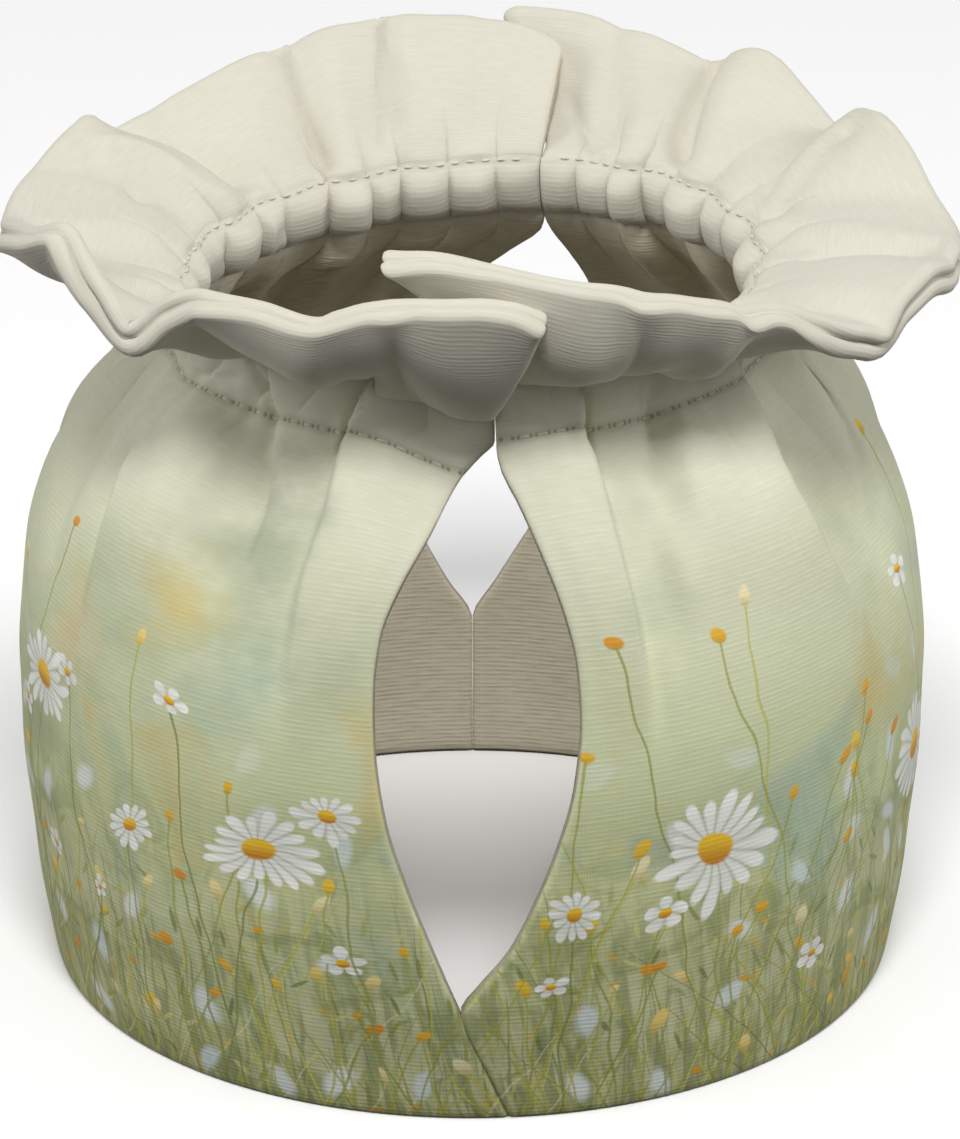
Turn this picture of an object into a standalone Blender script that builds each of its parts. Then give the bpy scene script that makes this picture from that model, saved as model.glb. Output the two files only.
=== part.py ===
"""Gathered tea cosy: two padded cloth halves that meet edge to edge.

Each half is one sheet of wadded cloth: a barrel-shaped body wall, a puckered
elastic casing at the neck and a loose ruffle above it. The halves are joined
below the front and back openings and again at the neck. Left and right are
seen from the front, the -Y side. Sizes in the tables are millimetres and
angles are degrees, turned from the front towards the half's own side.
"""

import bpy
import numpy as np

MM = 0.001

# Cloth
GAP_BETWEEN_HALVES = 0.36
RUFFLE_CLOTH = 3.2
RIM_CLOTH = 4.3
RIM_ROUNDING = 1.3
RIM_INSET = 1.5
HEM_ROUNDING = 0.5

# Gathers
COLUMNS_IN_A_PUFF = (0.0, 0.22, 0.78)
RUFFLE_ROWS = 8
PUFF_INWARD = 2.7
PUFF_OUTWARD = 1.5
PUFF_SQUARENESS = 0.55
PUCKER_DEPTH = 1.5
PUCKER_BULGE = 0.9
PUCKER_LENGTH = 9.0

# Folds, as shares of a fold's width and depth
FOLD_STEEP_SIDE = 0.75
FOLD_LONG_SIDE = 1.7
FOLD_RIDGE_PLACE = -1.9
FOLD_RIDGE_WIDTH = 1.3
FOLD_RIDGE_HEIGHT = 0.5

# Heights between which the body's pleats deepen, then flatten at the casing
PLEAT_STRENGTH = 1.45
PLEATS_DEEPEST = 106.0
PLEATS_FLATTEN_FROM = 112.0
PLEATS_LEFT_AT_CASING = 0.4

# Share of the ruffle over which its folds begin, and what is left at the rim
RUFFLE_FOLDS_BEGIN = 0.25
RUFFLE_FOLDS_AT_RIM = 0.5

# Outer and inner share of a pucker
PUCKER_OUTSIDE = 0.4
PUCKER_BULGE_INSIDE = 0.5

# Rounds in which an edge and the height of the neck there settle together
EDGE_STEPS = 4

# Where the body starts to follow the neck up or down
NECK_SLOPE_FROM = 92.0
LOWER_STITCHING = 120.0

# Middle of the cloth from the hem to the upper stitching of the casing; puff is
# the share of the full puff that stands out at that row
WALL = [
    {"height": 0.0, "radius": 75.0, "cloth": 3.0, "puff": 0.0},
    {"height": 5.0, "radius": 75.9, "cloth": 3.2, "puff": 0.0},
    {"height": 13.0, "radius": 77.1, "cloth": 3.2, "puff": 0.0},
    {"height": 23.0, "radius": 78.4, "cloth": 3.2, "puff": 0.0},
    {"height": 34.0, "radius": 79.5, "cloth": 3.2, "puff": 0.0},
    {"height": 46.0, "radius": 80.3, "cloth": 3.2, "puff": 0.0},
    {"height": 57.5, "radius": 80.4, "cloth": 3.2, "puff": 0.0},
    {"height": 69.0, "radius": 79.7, "cloth": 3.2, "puff": 0.0},
    {"height": 79.5, "radius": 78.2, "cloth": 3.2, "puff": 0.0},
    {"height": 88.5, "radius": 75.9, "cloth": 3.2, "puff": 0.0},
    {"height": 96.5, "radius": 72.9, "cloth": 3.2, "puff": 0.05},
    {"height": 103.5, "radius": 68.9, "cloth": 3.1, "puff": 0.12},
    {"height": 110.0, "radius": 63.9, "cloth": 3.0, "puff": 0.25},
    {"height": 115.5, "radius": 59.0, "cloth": 2.9, "puff": 0.4},
    {"height": 120.0, "radius": 55.2, "cloth": 2.4, "puff": 0.05},
    {"height": 123.4, "radius": 53.4, "cloth": 2.9, "puff": 0.9},
    {"height": 127.2, "radius": 52.6, "cloth": 2.9, "puff": 1.0},
    {"height": 131.0, "radius": 52.4, "cloth": 2.4, "puff": 0.05},
]

LEFT = {
    "name": "left_half",
    "side": -1.0,
    # Lines between the puffs of the casing, from the front end to the back end
    "puff_lines": [
        -4.4, 8, 19, 30, 41, 53, 64, 76, 85, 96, 106.3, 118.6, 130, 138,
        149.7, 158, 165.3, 175, 185, 194,
    ],
    # How far the neck rides above or below the WALL heights, and how tightly
    # the casing is gathered there
    "neck": [
        {"angle": -4.4, "rise": -6.6, "gather": 0.15},
        {"angle": 1.6, "rise": -5.8, "gather": 0.2},
        {"angle": 9.0, "rise": -3.2, "gather": 0.3},
        {"angle": 17.5, "rise": -0.6, "gather": 0.4},
        {"angle": 28.0, "rise": 0.4, "gather": 0.7},
        {"angle": 60.0, "rise": -0.6, "gather": 0.9},
        {"angle": 110.0, "rise": -2.2, "gather": 1.0},
        {"angle": 150.0, "rise": -1.8, "gather": 1.0},
        {"angle": 180.0, "rise": -0.4, "gather": 0.8},
        {"angle": 194.0, "rise": 0.6, "gather": 0.5},
    ],
    # Front edge: the seam up to 22 high, then the slit, then the neck joint
    "front_edge": [
        {"height": 0.0, "angle": -5.0},
        {"height": 10.0, "angle": -1.9},
        {"height": 22.0, "angle": 1.4},
        {"height": 28.0, "angle": 3.1},
        {"height": 35.5, "angle": 5.1},
        {"height": 47.3, "angle": 8.1},
        {"height": 58.6, "angle": 10.5},
        {"height": 73.6, "angle": 12.1},
        {"height": 84.0, "angle": 12.4},
        {"height": 91.6, "angle": 11.9},
        {"height": 99.5, "angle": 9.7},
        {"height": 107.0, "angle": 6.0},
        {"height": 113.0, "angle": 2.3},
        {"height": 117.0, "angle": -2.0},
        {"height": 119.4, "angle": -4.4},
        {"height": 132.0, "angle": -4.4},
    ],
    "back_edge": [
        {"height": 0.0, "angle": 180.0},
        {"height": 26.0, "angle": 180.0},
        {"height": 34.0, "angle": 176.6},
        {"height": 46.0, "angle": 172.4},
        {"height": 60.0, "angle": 169.6},
        {"height": 76.0, "angle": 169.6},
        {"height": 90.0, "angle": 173.2},
        {"height": 101.0, "angle": 179.4},
        {"height": 110.0, "angle": 187.0},
        {"height": 117.0, "angle": 193.2},
        {"height": 120.0, "angle": 194.0},
        {"height": 132.0, "angle": 194.0},
    ],
    # Ends of the ruffle, by the share of the way from the casing to the rim
    "ruffle_front": [
        {"share": 0.0, "angle": -4.4},
        {"share": 0.2, "angle": -4.4},
        {"share": 0.4, "angle": -5.4},
        {"share": 0.7, "angle": -7.6},
        {"share": 1.0, "angle": -9.6},
    ],
    "ruffle_back": [
        {"share": 0.0, "angle": 194.0},
        {"share": 0.5, "angle": 193.9},
        {"share": 1.0, "angle": 193.4},
    ],
    # The free edge of the ruffle, with the slope of the cloth where it starts
    # at the casing and the slope, tilt, that it has at the edge
    "rim": [
        {"angle": -9.6, "radius": 75.5, "height": 150.2, "start": 6, "tilt": 28},
        {"angle": -5.0, "radius": 75.0, "height": 152.4, "start": 7, "tilt": 36},
        {"angle": 0.0, "radius": 74.5, "height": 153.0, "start": 7, "tilt": 42},
        {"angle": 6.5, "radius": 74.5, "height": 153.0, "start": 8, "tilt": 42},
        {"angle": 12.5, "radius": 76.5, "height": 152.4, "start": 9, "tilt": 36},
        {"angle": 17.7, "radius": 77.5, "height": 150.4, "start": 10, "tilt": 28},
        {"angle": 23.5, "radius": 77.0, "height": 149.5, "start": 11, "tilt": 26},
        {"angle": 29.0, "radius": 76.8, "height": 150.0, "start": 14, "tilt": 30},
        {"angle": 36.5, "radius": 77.4, "height": 149.6, "start": 17, "tilt": 28},
        {"angle": 43.0, "radius": 78.6, "height": 145.2, "start": 19, "tilt": 8},
        {"angle": 47.5, "radius": 80.6, "height": 141.2, "start": 22, "tilt": -8},
        {"angle": 53.0, "radius": 82.0, "height": 146.6, "start": 20, "tilt": 34},
        {"angle": 60.0, "radius": 83.4, "height": 153.2, "start": 14, "tilt": 72},
        {"angle": 68.0, "radius": 83.8, "height": 149.6, "start": 12, "tilt": 66},
        {"angle": 80.0, "radius": 84.2, "height": 143.6, "start": 18, "tilt": 34},
        {"angle": 90.0, "radius": 83.4, "height": 139.8, "start": 30, "tilt": 6},
        {"angle": 100.0, "radius": 82.0, "height": 141.0, "start": 39, "tilt": 0},
        {"angle": 108.5, "radius": 80.5, "height": 143.2, "start": 40, "tilt": 6},
        {"angle": 116.0, "radius": 80.0, "height": 144.0, "start": 40, "tilt": 2},
        {"angle": 122.7, "radius": 79.6, "height": 139.8, "start": 40, "tilt": -12},
        {"angle": 129.0, "radius": 79.0, "height": 139.6, "start": 40, "tilt": 4},
        {"angle": 137.0, "radius": 78.4, "height": 142.4, "start": 40, "tilt": 14},
        {"angle": 148.0, "radius": 78.0, "height": 145.4, "start": 40, "tilt": 14},
        {"angle": 154.4, "radius": 78.0, "height": 146.6, "start": 40, "tilt": 10},
        {"angle": 160.0, "radius": 78.0, "height": 148.4, "start": 40, "tilt": 16},
        {"angle": 168.0, "radius": 78.0, "height": 149.2, "start": 40, "tilt": 18},
        {"angle": 175.6, "radius": 78.0, "height": 149.4, "start": 40, "tilt": 16},
        {"angle": 183.8, "radius": 77.2, "height": 148.6, "start": 41, "tilt": 18},
        {"angle": 190.5, "radius": 75.2, "height": 147.0, "start": 43, "tilt": 24},
        {"angle": 193.4, "radius": 73.4, "height": 145.6, "start": 44, "tilt": 26},
    ],
    # Folds of the ruffle from the casing to the rim; lean says which side is steep
    "ruffle_folds": [
        {"neck": 24.0, "rim": 20.0, "depth": 1.4, "width": 3.0, "lean": 1},
        {"neck": 46.0, "rim": 45.5, "depth": 2.0, "width": 3.2, "lean": 1},
        {"neck": 80.0, "rim": 60.0, "depth": -1.6, "width": 4.0, "lean": 1},
        {"neck": 112.0, "rim": 104.0, "depth": 1.3, "width": 5.0, "lean": 1},
        {"neck": 133.0, "rim": 123.0, "depth": 3.4, "width": 3.4, "lean": 1},
        {"neck": 152.0, "rim": 154.6, "depth": 2.2, "width": 3.0, "lean": -1},
        {"neck": 160.0, "rim": 167.6, "depth": 2.2, "width": 2.8, "lean": -1},
        {"neck": 180.0, "rim": 182.0, "depth": 1.2, "width": 3.4, "lean": 1},
    ],
    # Soft folds of the body that run down from the neck
    "pleats": [
        {"top": 19.0, "low": 23.6, "end": 68.0, "depth": 2.3, "width": 3.2},
        {"top": 37.0, "low": 25.5, "end": 76.0, "depth": 2.6, "width": 4.2},
        {"top": 47.0, "low": 45.0, "end": 92.0, "depth": 1.2, "width": 3.4},
        {"top": 58.0, "low": 58.5, "end": 72.0, "depth": 2.5, "width": 3.8},
        {"top": 76.0, "low": 73.0, "end": 80.0, "depth": 1.8, "width": 4.2},
        {"top": 92.0, "low": 95.0, "end": 66.0, "depth": 2.2, "width": 3.6},
        {"top": 106.0, "low": 104.0, "end": 84.0, "depth": 1.6, "width": 3.4},
        {"top": 121.0, "low": 127.0, "end": 70.0, "depth": 2.4, "width": 4.0},
        {"top": 139.0, "low": 141.0, "end": 78.0, "depth": 1.8, "width": 3.4},
        {"top": 154.0, "low": 152.0, "end": 66.0, "depth": 2.3, "width": 3.8},
        {"top": 171.0, "low": 163.0, "end": 82.0, "depth": 1.7, "width": 3.4},
    ],
}

RIGHT = {
    "name": "right_half",
    "side": 1.0,
    "puff_lines": [
        4.4, 14, 22.5, 33, 44, 56, 68, 79, 90, 102, 114.2, 124.7, 135.5, 143.3,
        149.7, 158, 166,
    ],
    "neck": [
        {"angle": 4.4, "rise": 0.4, "gather": 0.15},
        {"angle": 20.0, "rise": 1.2, "gather": 0.35},
        {"angle": 40.0, "rise": 1.3, "gather": 0.8},
        {"angle": 60.0, "rise": 1.4, "gather": 0.9},
        {"angle": 90.0, "rise": 2.2, "gather": 1.0},
        {"angle": 130.0, "rise": 2.4, "gather": 1.0},
        {"angle": 152.0, "rise": 1.6, "gather": 0.8},
        {"angle": 166.0, "rise": 0.6, "gather": 0.5},
    ],
    "front_edge": [
        {"height": 0.0, "angle": 5.0},
        {"height": 10.0, "angle": 1.9},
        {"height": 22.0, "angle": -1.4},
        {"height": 27.4, "angle": 1.0},
        {"height": 34.0, "angle": 4.6},
        {"height": 43.5, "angle": 7.8},
        {"height": 54.7, "angle": 10.8},
        {"height": 65.9, "angle": 12.9},
        {"height": 78.5, "angle": 13.9},
        {"height": 86.5, "angle": 13.7},
        {"height": 94.5, "angle": 12.6},
        {"height": 104.0, "angle": 10.2},
        {"height": 111.3, "angle": 7.6},
        {"height": 117.4, "angle": 4.7},
        {"height": 119.4, "angle": 4.4},
        {"height": 134.0, "angle": 4.4},
    ],
    "back_edge": [
        {"height": 0.0, "angle": 180.0},
        {"height": 26.0, "angle": 180.0},
        {"height": 34.0, "angle": 176.8},
        {"height": 46.0, "angle": 171.8},
        {"height": 60.0, "angle": 166.6},
        {"height": 76.0, "angle": 162.6},
        {"height": 90.0, "angle": 161.0},
        {"height": 101.0, "angle": 161.6},
        {"height": 110.0, "angle": 163.6},
        {"height": 117.0, "angle": 165.6},
        {"height": 120.0, "angle": 166.0},
        {"height": 134.0, "angle": 166.0},
    ],
    "ruffle_front": [
        {"share": 0.0, "angle": 4.4},
        {"share": 0.16, "angle": 4.4},
        {"share": 0.34, "angle": 2.2},
        {"share": 0.6, "angle": -4.6},
        {"share": 0.85, "angle": -10.2},
        {"share": 1.0, "angle": -12.6},
    ],
    "ruffle_back": [
        {"share": 0.0, "angle": 166.0},
        {"share": 0.12, "angle": 166.1},
        {"share": 0.25, "angle": 167.4},
        {"share": 0.5, "angle": 170.2},
        {"share": 0.8, "angle": 173.2},
        {"share": 1.0, "angle": 175.2},
    ],
    "rim": [
        {"angle": -12.6, "radius": 68.0, "height": 158.6, "start": 34, "tilt": 44},
        {"angle": -7.0, "radius": 67.6, "height": 158.8, "start": 33, "tilt": 52},
        {"angle": 2.9, "radius": 68.4, "height": 157.4, "start": 30, "tilt": 58},
        {"angle": 11.8, "radius": 71.0, "height": 155.4, "start": 22, "tilt": 56},
        {"angle": 17.9, "radius": 73.6, "height": 154.0, "start": 20, "tilt": 50},
        {"angle": 26.5, "radius": 76.0, "height": 152.0, "start": 17, "tilt": 42},
        {"angle": 34.5, "radius": 77.0, "height": 148.6, "start": 17, "tilt": 24},
        {"angle": 40.0, "radius": 77.0, "height": 146.8, "start": 19, "tilt": 16},
        {"angle": 43.8, "radius": 78.2, "height": 145.2, "start": 20, "tilt": 12},
        {"angle": 48.5, "radius": 80.4, "height": 141.4, "start": 22, "tilt": 0},
        {"angle": 55.0, "radius": 82.4, "height": 136.8, "start": 25, "tilt": -18},
        {"angle": 59.0, "radius": 84.0, "height": 136.0, "start": 27, "tilt": -22},
        {"angle": 63.5, "radius": 84.6, "height": 139.6, "start": 29, "tilt": 0},
        {"angle": 70.0, "radius": 85.4, "height": 140.6, "start": 32, "tilt": 4},
        {"angle": 80.0, "radius": 87.2, "height": 138.4, "start": 36, "tilt": -4},
        {"angle": 90.0, "radius": 86.2, "height": 137.6, "start": 37, "tilt": -8},
        {"angle": 97.0, "radius": 84.4, "height": 139.2, "start": 38, "tilt": 2},
        {"angle": 105.0, "radius": 82.0, "height": 145.4, "start": 38, "tilt": 22},
        {"angle": 110.5, "radius": 81.2, "height": 147.6, "start": 39, "tilt": 30},
        {"angle": 116.0, "radius": 81.4, "height": 146.0, "start": 40, "tilt": 22},
        {"angle": 124.5, "radius": 82.0, "height": 139.2, "start": 39, "tilt": -10},
        {"angle": 131.5, "radius": 82.0, "height": 143.4, "start": 38, "tilt": 8},
        {"angle": 137.5, "radius": 81.2, "height": 148.8, "start": 38, "tilt": 30},
        {"angle": 145.5, "radius": 80.6, "height": 144.8, "start": 37, "tilt": 8},
        {"angle": 155.5, "radius": 81.4, "height": 146.6, "start": 18, "tilt": 22},
        {"angle": 166.5, "radius": 84.0, "height": 149.2, "start": 2, "tilt": 48},
        {"angle": 173.5, "radius": 85.0, "height": 149.6, "start": 1, "tilt": 56},
        {"angle": 175.2, "radius": 85.0, "height": 147.8, "start": 0, "tilt": 54},
    ],
    "ruffle_folds": [
        {"neck": 22.5, "rim": 23.0, "depth": 1.4, "width": 2.8, "lean": 1},
        {"neck": 33.0, "rim": 38.0, "depth": 1.8, "width": 3.0, "lean": 1},
        {"neck": 56.0, "rim": 58.0, "depth": 1.6, "width": 3.4, "lean": 1},
        {"neck": 86.0, "rim": 77.0, "depth": 2.0, "width": 3.2, "lean": -1},
        {"neck": 108.0, "rim": 123.5, "depth": 2.4, "width": 3.4, "lean": 1},
        {"neck": 135.0, "rim": 146.0, "depth": 2.4, "width": 3.0, "lean": 1},
        {"neck": 151.0, "rim": 160.0, "depth": 1.5, "width": 2.8, "lean": 1},
    ],
    "pleats": [
        {"top": 22.8, "low": 22.4, "end": 62.0, "depth": 2.0, "width": 2.6},
        {"top": 35.0, "low": 31.0, "end": 82.0, "depth": 1.8, "width": 4.0},
        {"top": 47.0, "low": 45.0, "end": 96.0, "depth": 1.0, "width": 3.2},
        {"top": 59.0, "low": 57.0, "end": 70.0, "depth": 2.6, "width": 3.6},
        {"top": 81.0, "low": 74.0, "end": 86.0, "depth": 1.9, "width": 3.4},
        {"top": 96.0, "low": 92.0, "end": 72.0, "depth": 1.8, "width": 3.8},
        {"top": 113.0, "low": 116.0, "end": 64.0, "depth": 2.4, "width": 4.0},
        {"top": 129.0, "low": 128.0, "end": 84.0, "depth": 1.6, "width": 3.4},
        {"top": 146.0, "low": 143.0, "end": 70.0, "depth": 2.2, "width": 3.8},
    ],
}

def column(table, name):
    return np.array([row[name] for row in table], float)


def curve(keys, values, x):
    """A smooth line through table values that never overshoots them."""
    keys = np.asarray(keys, float)
    values = np.asarray(values, float)
    step = np.diff(keys)
    rise = np.diff(values) / step
    slope = np.zeros(len(keys))
    slope[0] = rise[0]
    slope[-1] = rise[-1]
    for k in range(1, len(keys) - 1):
        if rise[k - 1] * rise[k] > 0:
            before = 2 * step[k] + step[k - 1]
            after = step[k] + 2 * step[k - 1]
            slope[k] = (before + after) / (before / rise[k - 1] + after / rise[k])
    x = np.clip(np.asarray(x, float), keys[0], keys[-1])
    i = np.clip(np.searchsorted(keys, x, side="right") - 1, 0, len(step) - 1)
    t = (x - keys[i]) / step[i]
    return (
        (1 + 2 * t) * (1 - t) ** 2 * values[i]
        + t * (1 - t) ** 2 * step[i] * slope[i]
        + t * t * (3 - 2 * t) * values[i + 1]
        + t * t * (t - 1) * step[i] * slope[i + 1]
    )


def look_up(table, key, name, x):
    return curve(column(table, key), column(table, name), x)


def ease(low, high, x):
    t = np.clip((np.asarray(x, float) - low) / (high - low), 0.0, 1.0)
    return t * t * (3 - 2 * t)


def half_gap(radius):
    """Half the gap between the halves, as an angle at this radius."""
    return np.degrees(GAP_BETWEEN_HALVES / 2 / radius)


def edge_angles(half, height, radius):
    """Angles of the front and back edges of the wall at one row."""
    angles = []
    for name, first_guess, sign in (("front_edge", 0.0, 1.0), ("back_edge", 180.0, -1.0)):
        angle = first_guess
        for _ in range(EDGE_STEPS):
            seen = height + neck_lift(half, height, angle)
            angle = float(look_up(half[name], "height", "angle", seen))
        angles.append(angle + sign * half_gap(radius))
    return angles


def neck_lift(half, height, angle):
    rise = look_up(half["neck"], "angle", "rise", angle)
    return rise * ease(NECK_SLOPE_FROM, LOWER_STITCHING, height)


def bell(x, width):
    return np.exp(-((x / width) ** 2))


def fold_profile(x):
    """A trough with a steep near side, a long far side and a ridge before it."""
    trough = np.where(x < 0, bell(x, FOLD_STEEP_SIDE), bell(x, FOLD_LONG_SIDE))
    return FOLD_RIDGE_HEIGHT * bell(x - FOLD_RIDGE_PLACE, FOLD_RIDGE_WIDTH) - trough


def pleat_offset(half, angle, height, radius):
    """Outward offset of the body wall from its pleats."""
    flat = (1 - PLEATS_LEFT_AT_CASING) * ease(PLEATS_FLATTEN_FROM, LOWER_STITCHING, height)
    total = np.zeros(np.shape(angle))
    for pleat in half["pleats"]:
        climb = ease(pleat["end"], LOWER_STITCHING, height)
        line = pleat["low"] + (pleat["top"] - pleat["low"]) * climb
        x = np.radians(angle - line) * radius / pleat["width"]
        strength = ease(pleat["end"], PLEATS_DEEPEST, height) * (1 - flat)
        total += PLEAT_STRENGTH * pleat["depth"] * strength * fold_profile(x)
    return total


def ruffle_fold_offset(half, angle, share, radius):
    """Offset of the ruffle, towards its inner face, from its folds."""
    strength = ease(0.0, RUFFLE_FOLDS_BEGIN, share) * (1 - RUFFLE_FOLDS_AT_RIM * share)
    total = np.zeros(np.shape(angle))
    for fold in half["ruffle_folds"]:
        line = fold["neck"] + (fold["rim"] - fold["neck"]) * share
        x = fold["lean"] * np.radians(angle - line) * radius / fold["width"]
        total += fold["depth"] * strength * fold_profile(x)
    return total


def puff_shape(half, angle):
    """From 0 on the lines between the puffs to 1 on top of a puff."""
    lines = np.array(half["puff_lines"], float)
    inside = np.clip(angle, lines[0], lines[-1])
    i = np.clip(np.searchsorted(lines, inside, side="right") - 1, 0, len(lines) - 2)
    t = (inside - lines[i]) / (lines[i + 1] - lines[i])
    return np.maximum(np.sin(np.pi * t), 0.0) ** PUFF_SQUARENESS


def wall_row(half, index, shares, puffs, gather):
    """One row of the wall; index counts along the WALL table."""
    places = np.arange(len(WALL))
    size = {name: float(curve(places, column(WALL, name), index)) for name in WALL[0]}
    front, back = edge_angles(half, size["height"], size["radius"])
    angle = front + (back - front) * shares
    offset = pleat_offset(half, angle, size["height"], size["radius"])
    return {
        "angle": angle,
        "radius": size["radius"] + offset,
        "height": size["height"] + neck_lift(half, size["height"], angle),
        "cloth": np.full(len(shares), size["cloth"]),
        "outward": PUFF_OUTWARD * size["puff"] * puffs * gather,
        "inward": PUFF_INWARD * size["puff"] * puffs * gather,
    }


def ruffle_row(half, share, shares, puffs, gather, neck):
    """One row of the ruffle; share runs from 0 at the casing to 1 at the rim."""
    front = float(look_up(half["ruffle_front"], "share", "angle", share))
    back = float(look_up(half["ruffle_back"], "share", "angle", share))
    gap = half_gap(neck["radius"][0])
    angle = front + gap + (back - front - 2 * gap) * shares
    edge = {name: look_up(half["rim"], "angle", name, angle) for name in half["rim"][0]}
    start = np.radians(edge["start"])
    tilt = np.radians(edge["tilt"])
    out = edge["radius"] - RIM_INSET - neck["radius"]
    up = edge["height"] - RIM_INSET - neck["height"]
    length = np.hypot(out, up)
    leave = share * (1 - share) ** 2 * length
    arrive = share * share * (share - 1) * length
    travel = share * share * (3 - 2 * share)
    radius = neck["radius"] + travel * out + leave * np.cos(start) + arrive * np.cos(tilt)
    height = neck["height"] + travel * up + leave * np.sin(start) + arrive * np.sin(tilt)
    fold = ruffle_fold_offset(half, angle, share, radius)
    fade = gather * np.exp(-share * length / PUCKER_LENGTH)
    pinch = PUCKER_DEPTH * (1 - puffs) * fade
    return {
        "angle": angle,
        "radius": radius - fold * up / length,
        "height": height + fold * out / length,
        "cloth": RUFFLE_CLOTH + (RIM_CLOTH - RUFFLE_CLOTH) * share**2 + 0 * angle,
        "outward": PUCKER_BULGE * puffs * fade - PUCKER_OUTSIDE * pinch,
        "inward": PUCKER_BULGE_INSIDE * PUCKER_BULGE * puffs * fade - pinch,
    }


def half_grid(half, shares, wall_rows, ruffle_shares):
    """Rows of a half from hem to rim.

    shares run from 0 at the front end of the half to 1 at its back end.
    """
    lines = np.array(half["puff_lines"], float)
    spread = lines[0] + (lines[-1] - lines[0]) * shares
    puffs = puff_shape(half, spread)
    gather = look_up(half["neck"], "angle", "gather", spread)
    rows = [wall_row(half, index, shares, puffs, gather) for index in wall_rows]
    neck = rows[-1]
    for share in ruffle_shares:
        rows.append(ruffle_row(half, share, shares, puffs, gather, neck))
    return rows


def surface_points(half, rows):
    """Middle points and outward unit normals for every row and column."""
    angle = np.radians(np.array([row["angle"] for row in rows]))
    radius = np.array([row["radius"] for row in rows])
    height = np.array([row["height"] for row in rows])
    points = np.stack(
        [half["side"] * radius * np.sin(angle), -radius * np.cos(angle), height], axis=-1
    )
    along = np.gradient(points, axis=1)
    upward = np.gradient(points, axis=0)
    normal = np.cross(along, upward) * half["side"]
    normal[0, :, 2] = 0.0
    normal /= np.linalg.norm(normal, axis=-1, keepdims=True)
    return points, normal


def half_faces(rows, columns):
    """Faces of a closed sheet: outside, inside, both ends, hem and rim."""
    outside = np.arange(rows * columns).reshape(rows, columns)
    inside = outside + rows * columns
    rim = 2 * rows * columns + np.arange(columns)
    faces = []
    for j in range(rows - 1):
        for i in range(columns - 1):
            faces.append((outside[j, i], outside[j, i + 1], outside[j + 1, i + 1], outside[j + 1, i]))
            faces.append((inside[j, i], inside[j + 1, i], inside[j + 1, i + 1], inside[j, i + 1]))
        faces.append((outside[j, 0], outside[j + 1, 0], inside[j + 1, 0], inside[j, 0]))
        faces.append((outside[j, -1], inside[j, -1], inside[j + 1, -1], outside[j + 1, -1]))
    for i in range(columns - 1):
        faces.append((outside[0, i], inside[0, i], inside[0, i + 1], outside[0, i + 1]))
        faces.append((outside[-1, i], outside[-1, i + 1], rim[i + 1], rim[i]))
        faces.append((rim[i], rim[i + 1], inside[-1, i + 1], inside[-1, i]))
    faces.append((outside[-1, 0], rim[0], inside[-1, 0]))
    faces.append((outside[-1, -1], inside[-1, -1], rim[-1]))
    return faces


def half_vertices(half, rows):
    """Outside points, then inside points, then the line along the rim."""
    points, normal = surface_points(half, rows)
    cloth = np.array([row["cloth"] for row in rows])[..., None]
    outward = np.array([row["outward"] for row in rows])[..., None]
    inward = np.array([row["inward"] for row in rows])[..., None]
    outside = points + normal * (cloth / 2 + outward)
    inside = points - normal * (cloth / 2 + inward)
    outside[0] -= normal[0] * HEM_ROUNDING
    onward = points[-1] - points[-2]
    onward /= np.linalg.norm(onward, axis=-1, keepdims=True)
    rim = points[-1] + onward * RIM_ROUNDING
    return np.concatenate([outside.reshape(-1, 3), inside.reshape(-1, 3), rim])


def column_shares(half, places):
    """Columns on the lines between the puffs and at these places in each puff."""
    lines = np.array(half["puff_lines"], float)
    lines = (lines - lines[0]) / (lines[-1] - lines[0])
    parts = [a + (b - a) * np.array(places) for a, b in zip(lines, lines[1:])]
    return np.append(np.concatenate(parts), 1.0)


def cloth_material(name, colour):
    material = bpy.data.materials.new(name)
    material.use_nodes = True
    shader = material.node_tree.nodes["Principled BSDF"]
    shader.inputs["Base Color"].default_value = colour
    shader.inputs["Roughness"].default_value = 0.92
    shader.inputs["Metallic"].default_value = 0.0
    return material


def add_half(half, vertices, faces, colour):
    mesh = bpy.data.meshes.new(half["name"])
    if half["side"] < 0:
        faces = [tuple(reversed(face)) for face in faces]
    mesh.from_pydata([tuple(v) for v in vertices], [], [tuple(int(k) for k in f) for f in faces])
    mesh.update()
    for polygon in mesh.polygons:
        polygon.use_smooth = True
    piece = bpy.data.objects.new(half["name"], mesh)
    bpy.context.scene.collection.objects.link(piece)
    piece.data.materials.append(cloth_material(half["name"] + "_cloth", colour))
    return piece


def build():
    for old in list(bpy.data.objects):
        bpy.data.objects.remove(old, do_unlink=True)
    ruffle_shares = np.arange(1, RUFFLE_ROWS + 1) / RUFFLE_ROWS
    wall_rows = np.arange(len(WALL))
    made = []
    for half in (LEFT, RIGHT):
        shares = column_shares(half, COLUMNS_IN_A_PUFF)
        rows = half_grid(half, shares, wall_rows, ruffle_shares)
        made.append((half, half_vertices(half, rows), half_faces(len(rows), len(shares))))
    every = np.concatenate([vertices for _, vertices, _ in made])
    middle = (every.min(axis=0) + every.max(axis=0)) / 2
    middle[2] = 0.0
    colours = {"left_half": (0.53, 0.57, 0.40, 1.0), "right_half": (0.55, 0.58, 0.42, 1.0)}
    for half, vertices, faces in made:
        add_half(half, (vertices - middle) * MM, faces, colours[half["name"]])


build()
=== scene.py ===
"""Looks of the gathered tea cosy: cloth, print, stitching, floor, light and camera.

Sizes in the tables are millimetres and angles are degrees, turned from the
front towards the half's own side, as in the part's own source.
"""

import math

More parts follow.
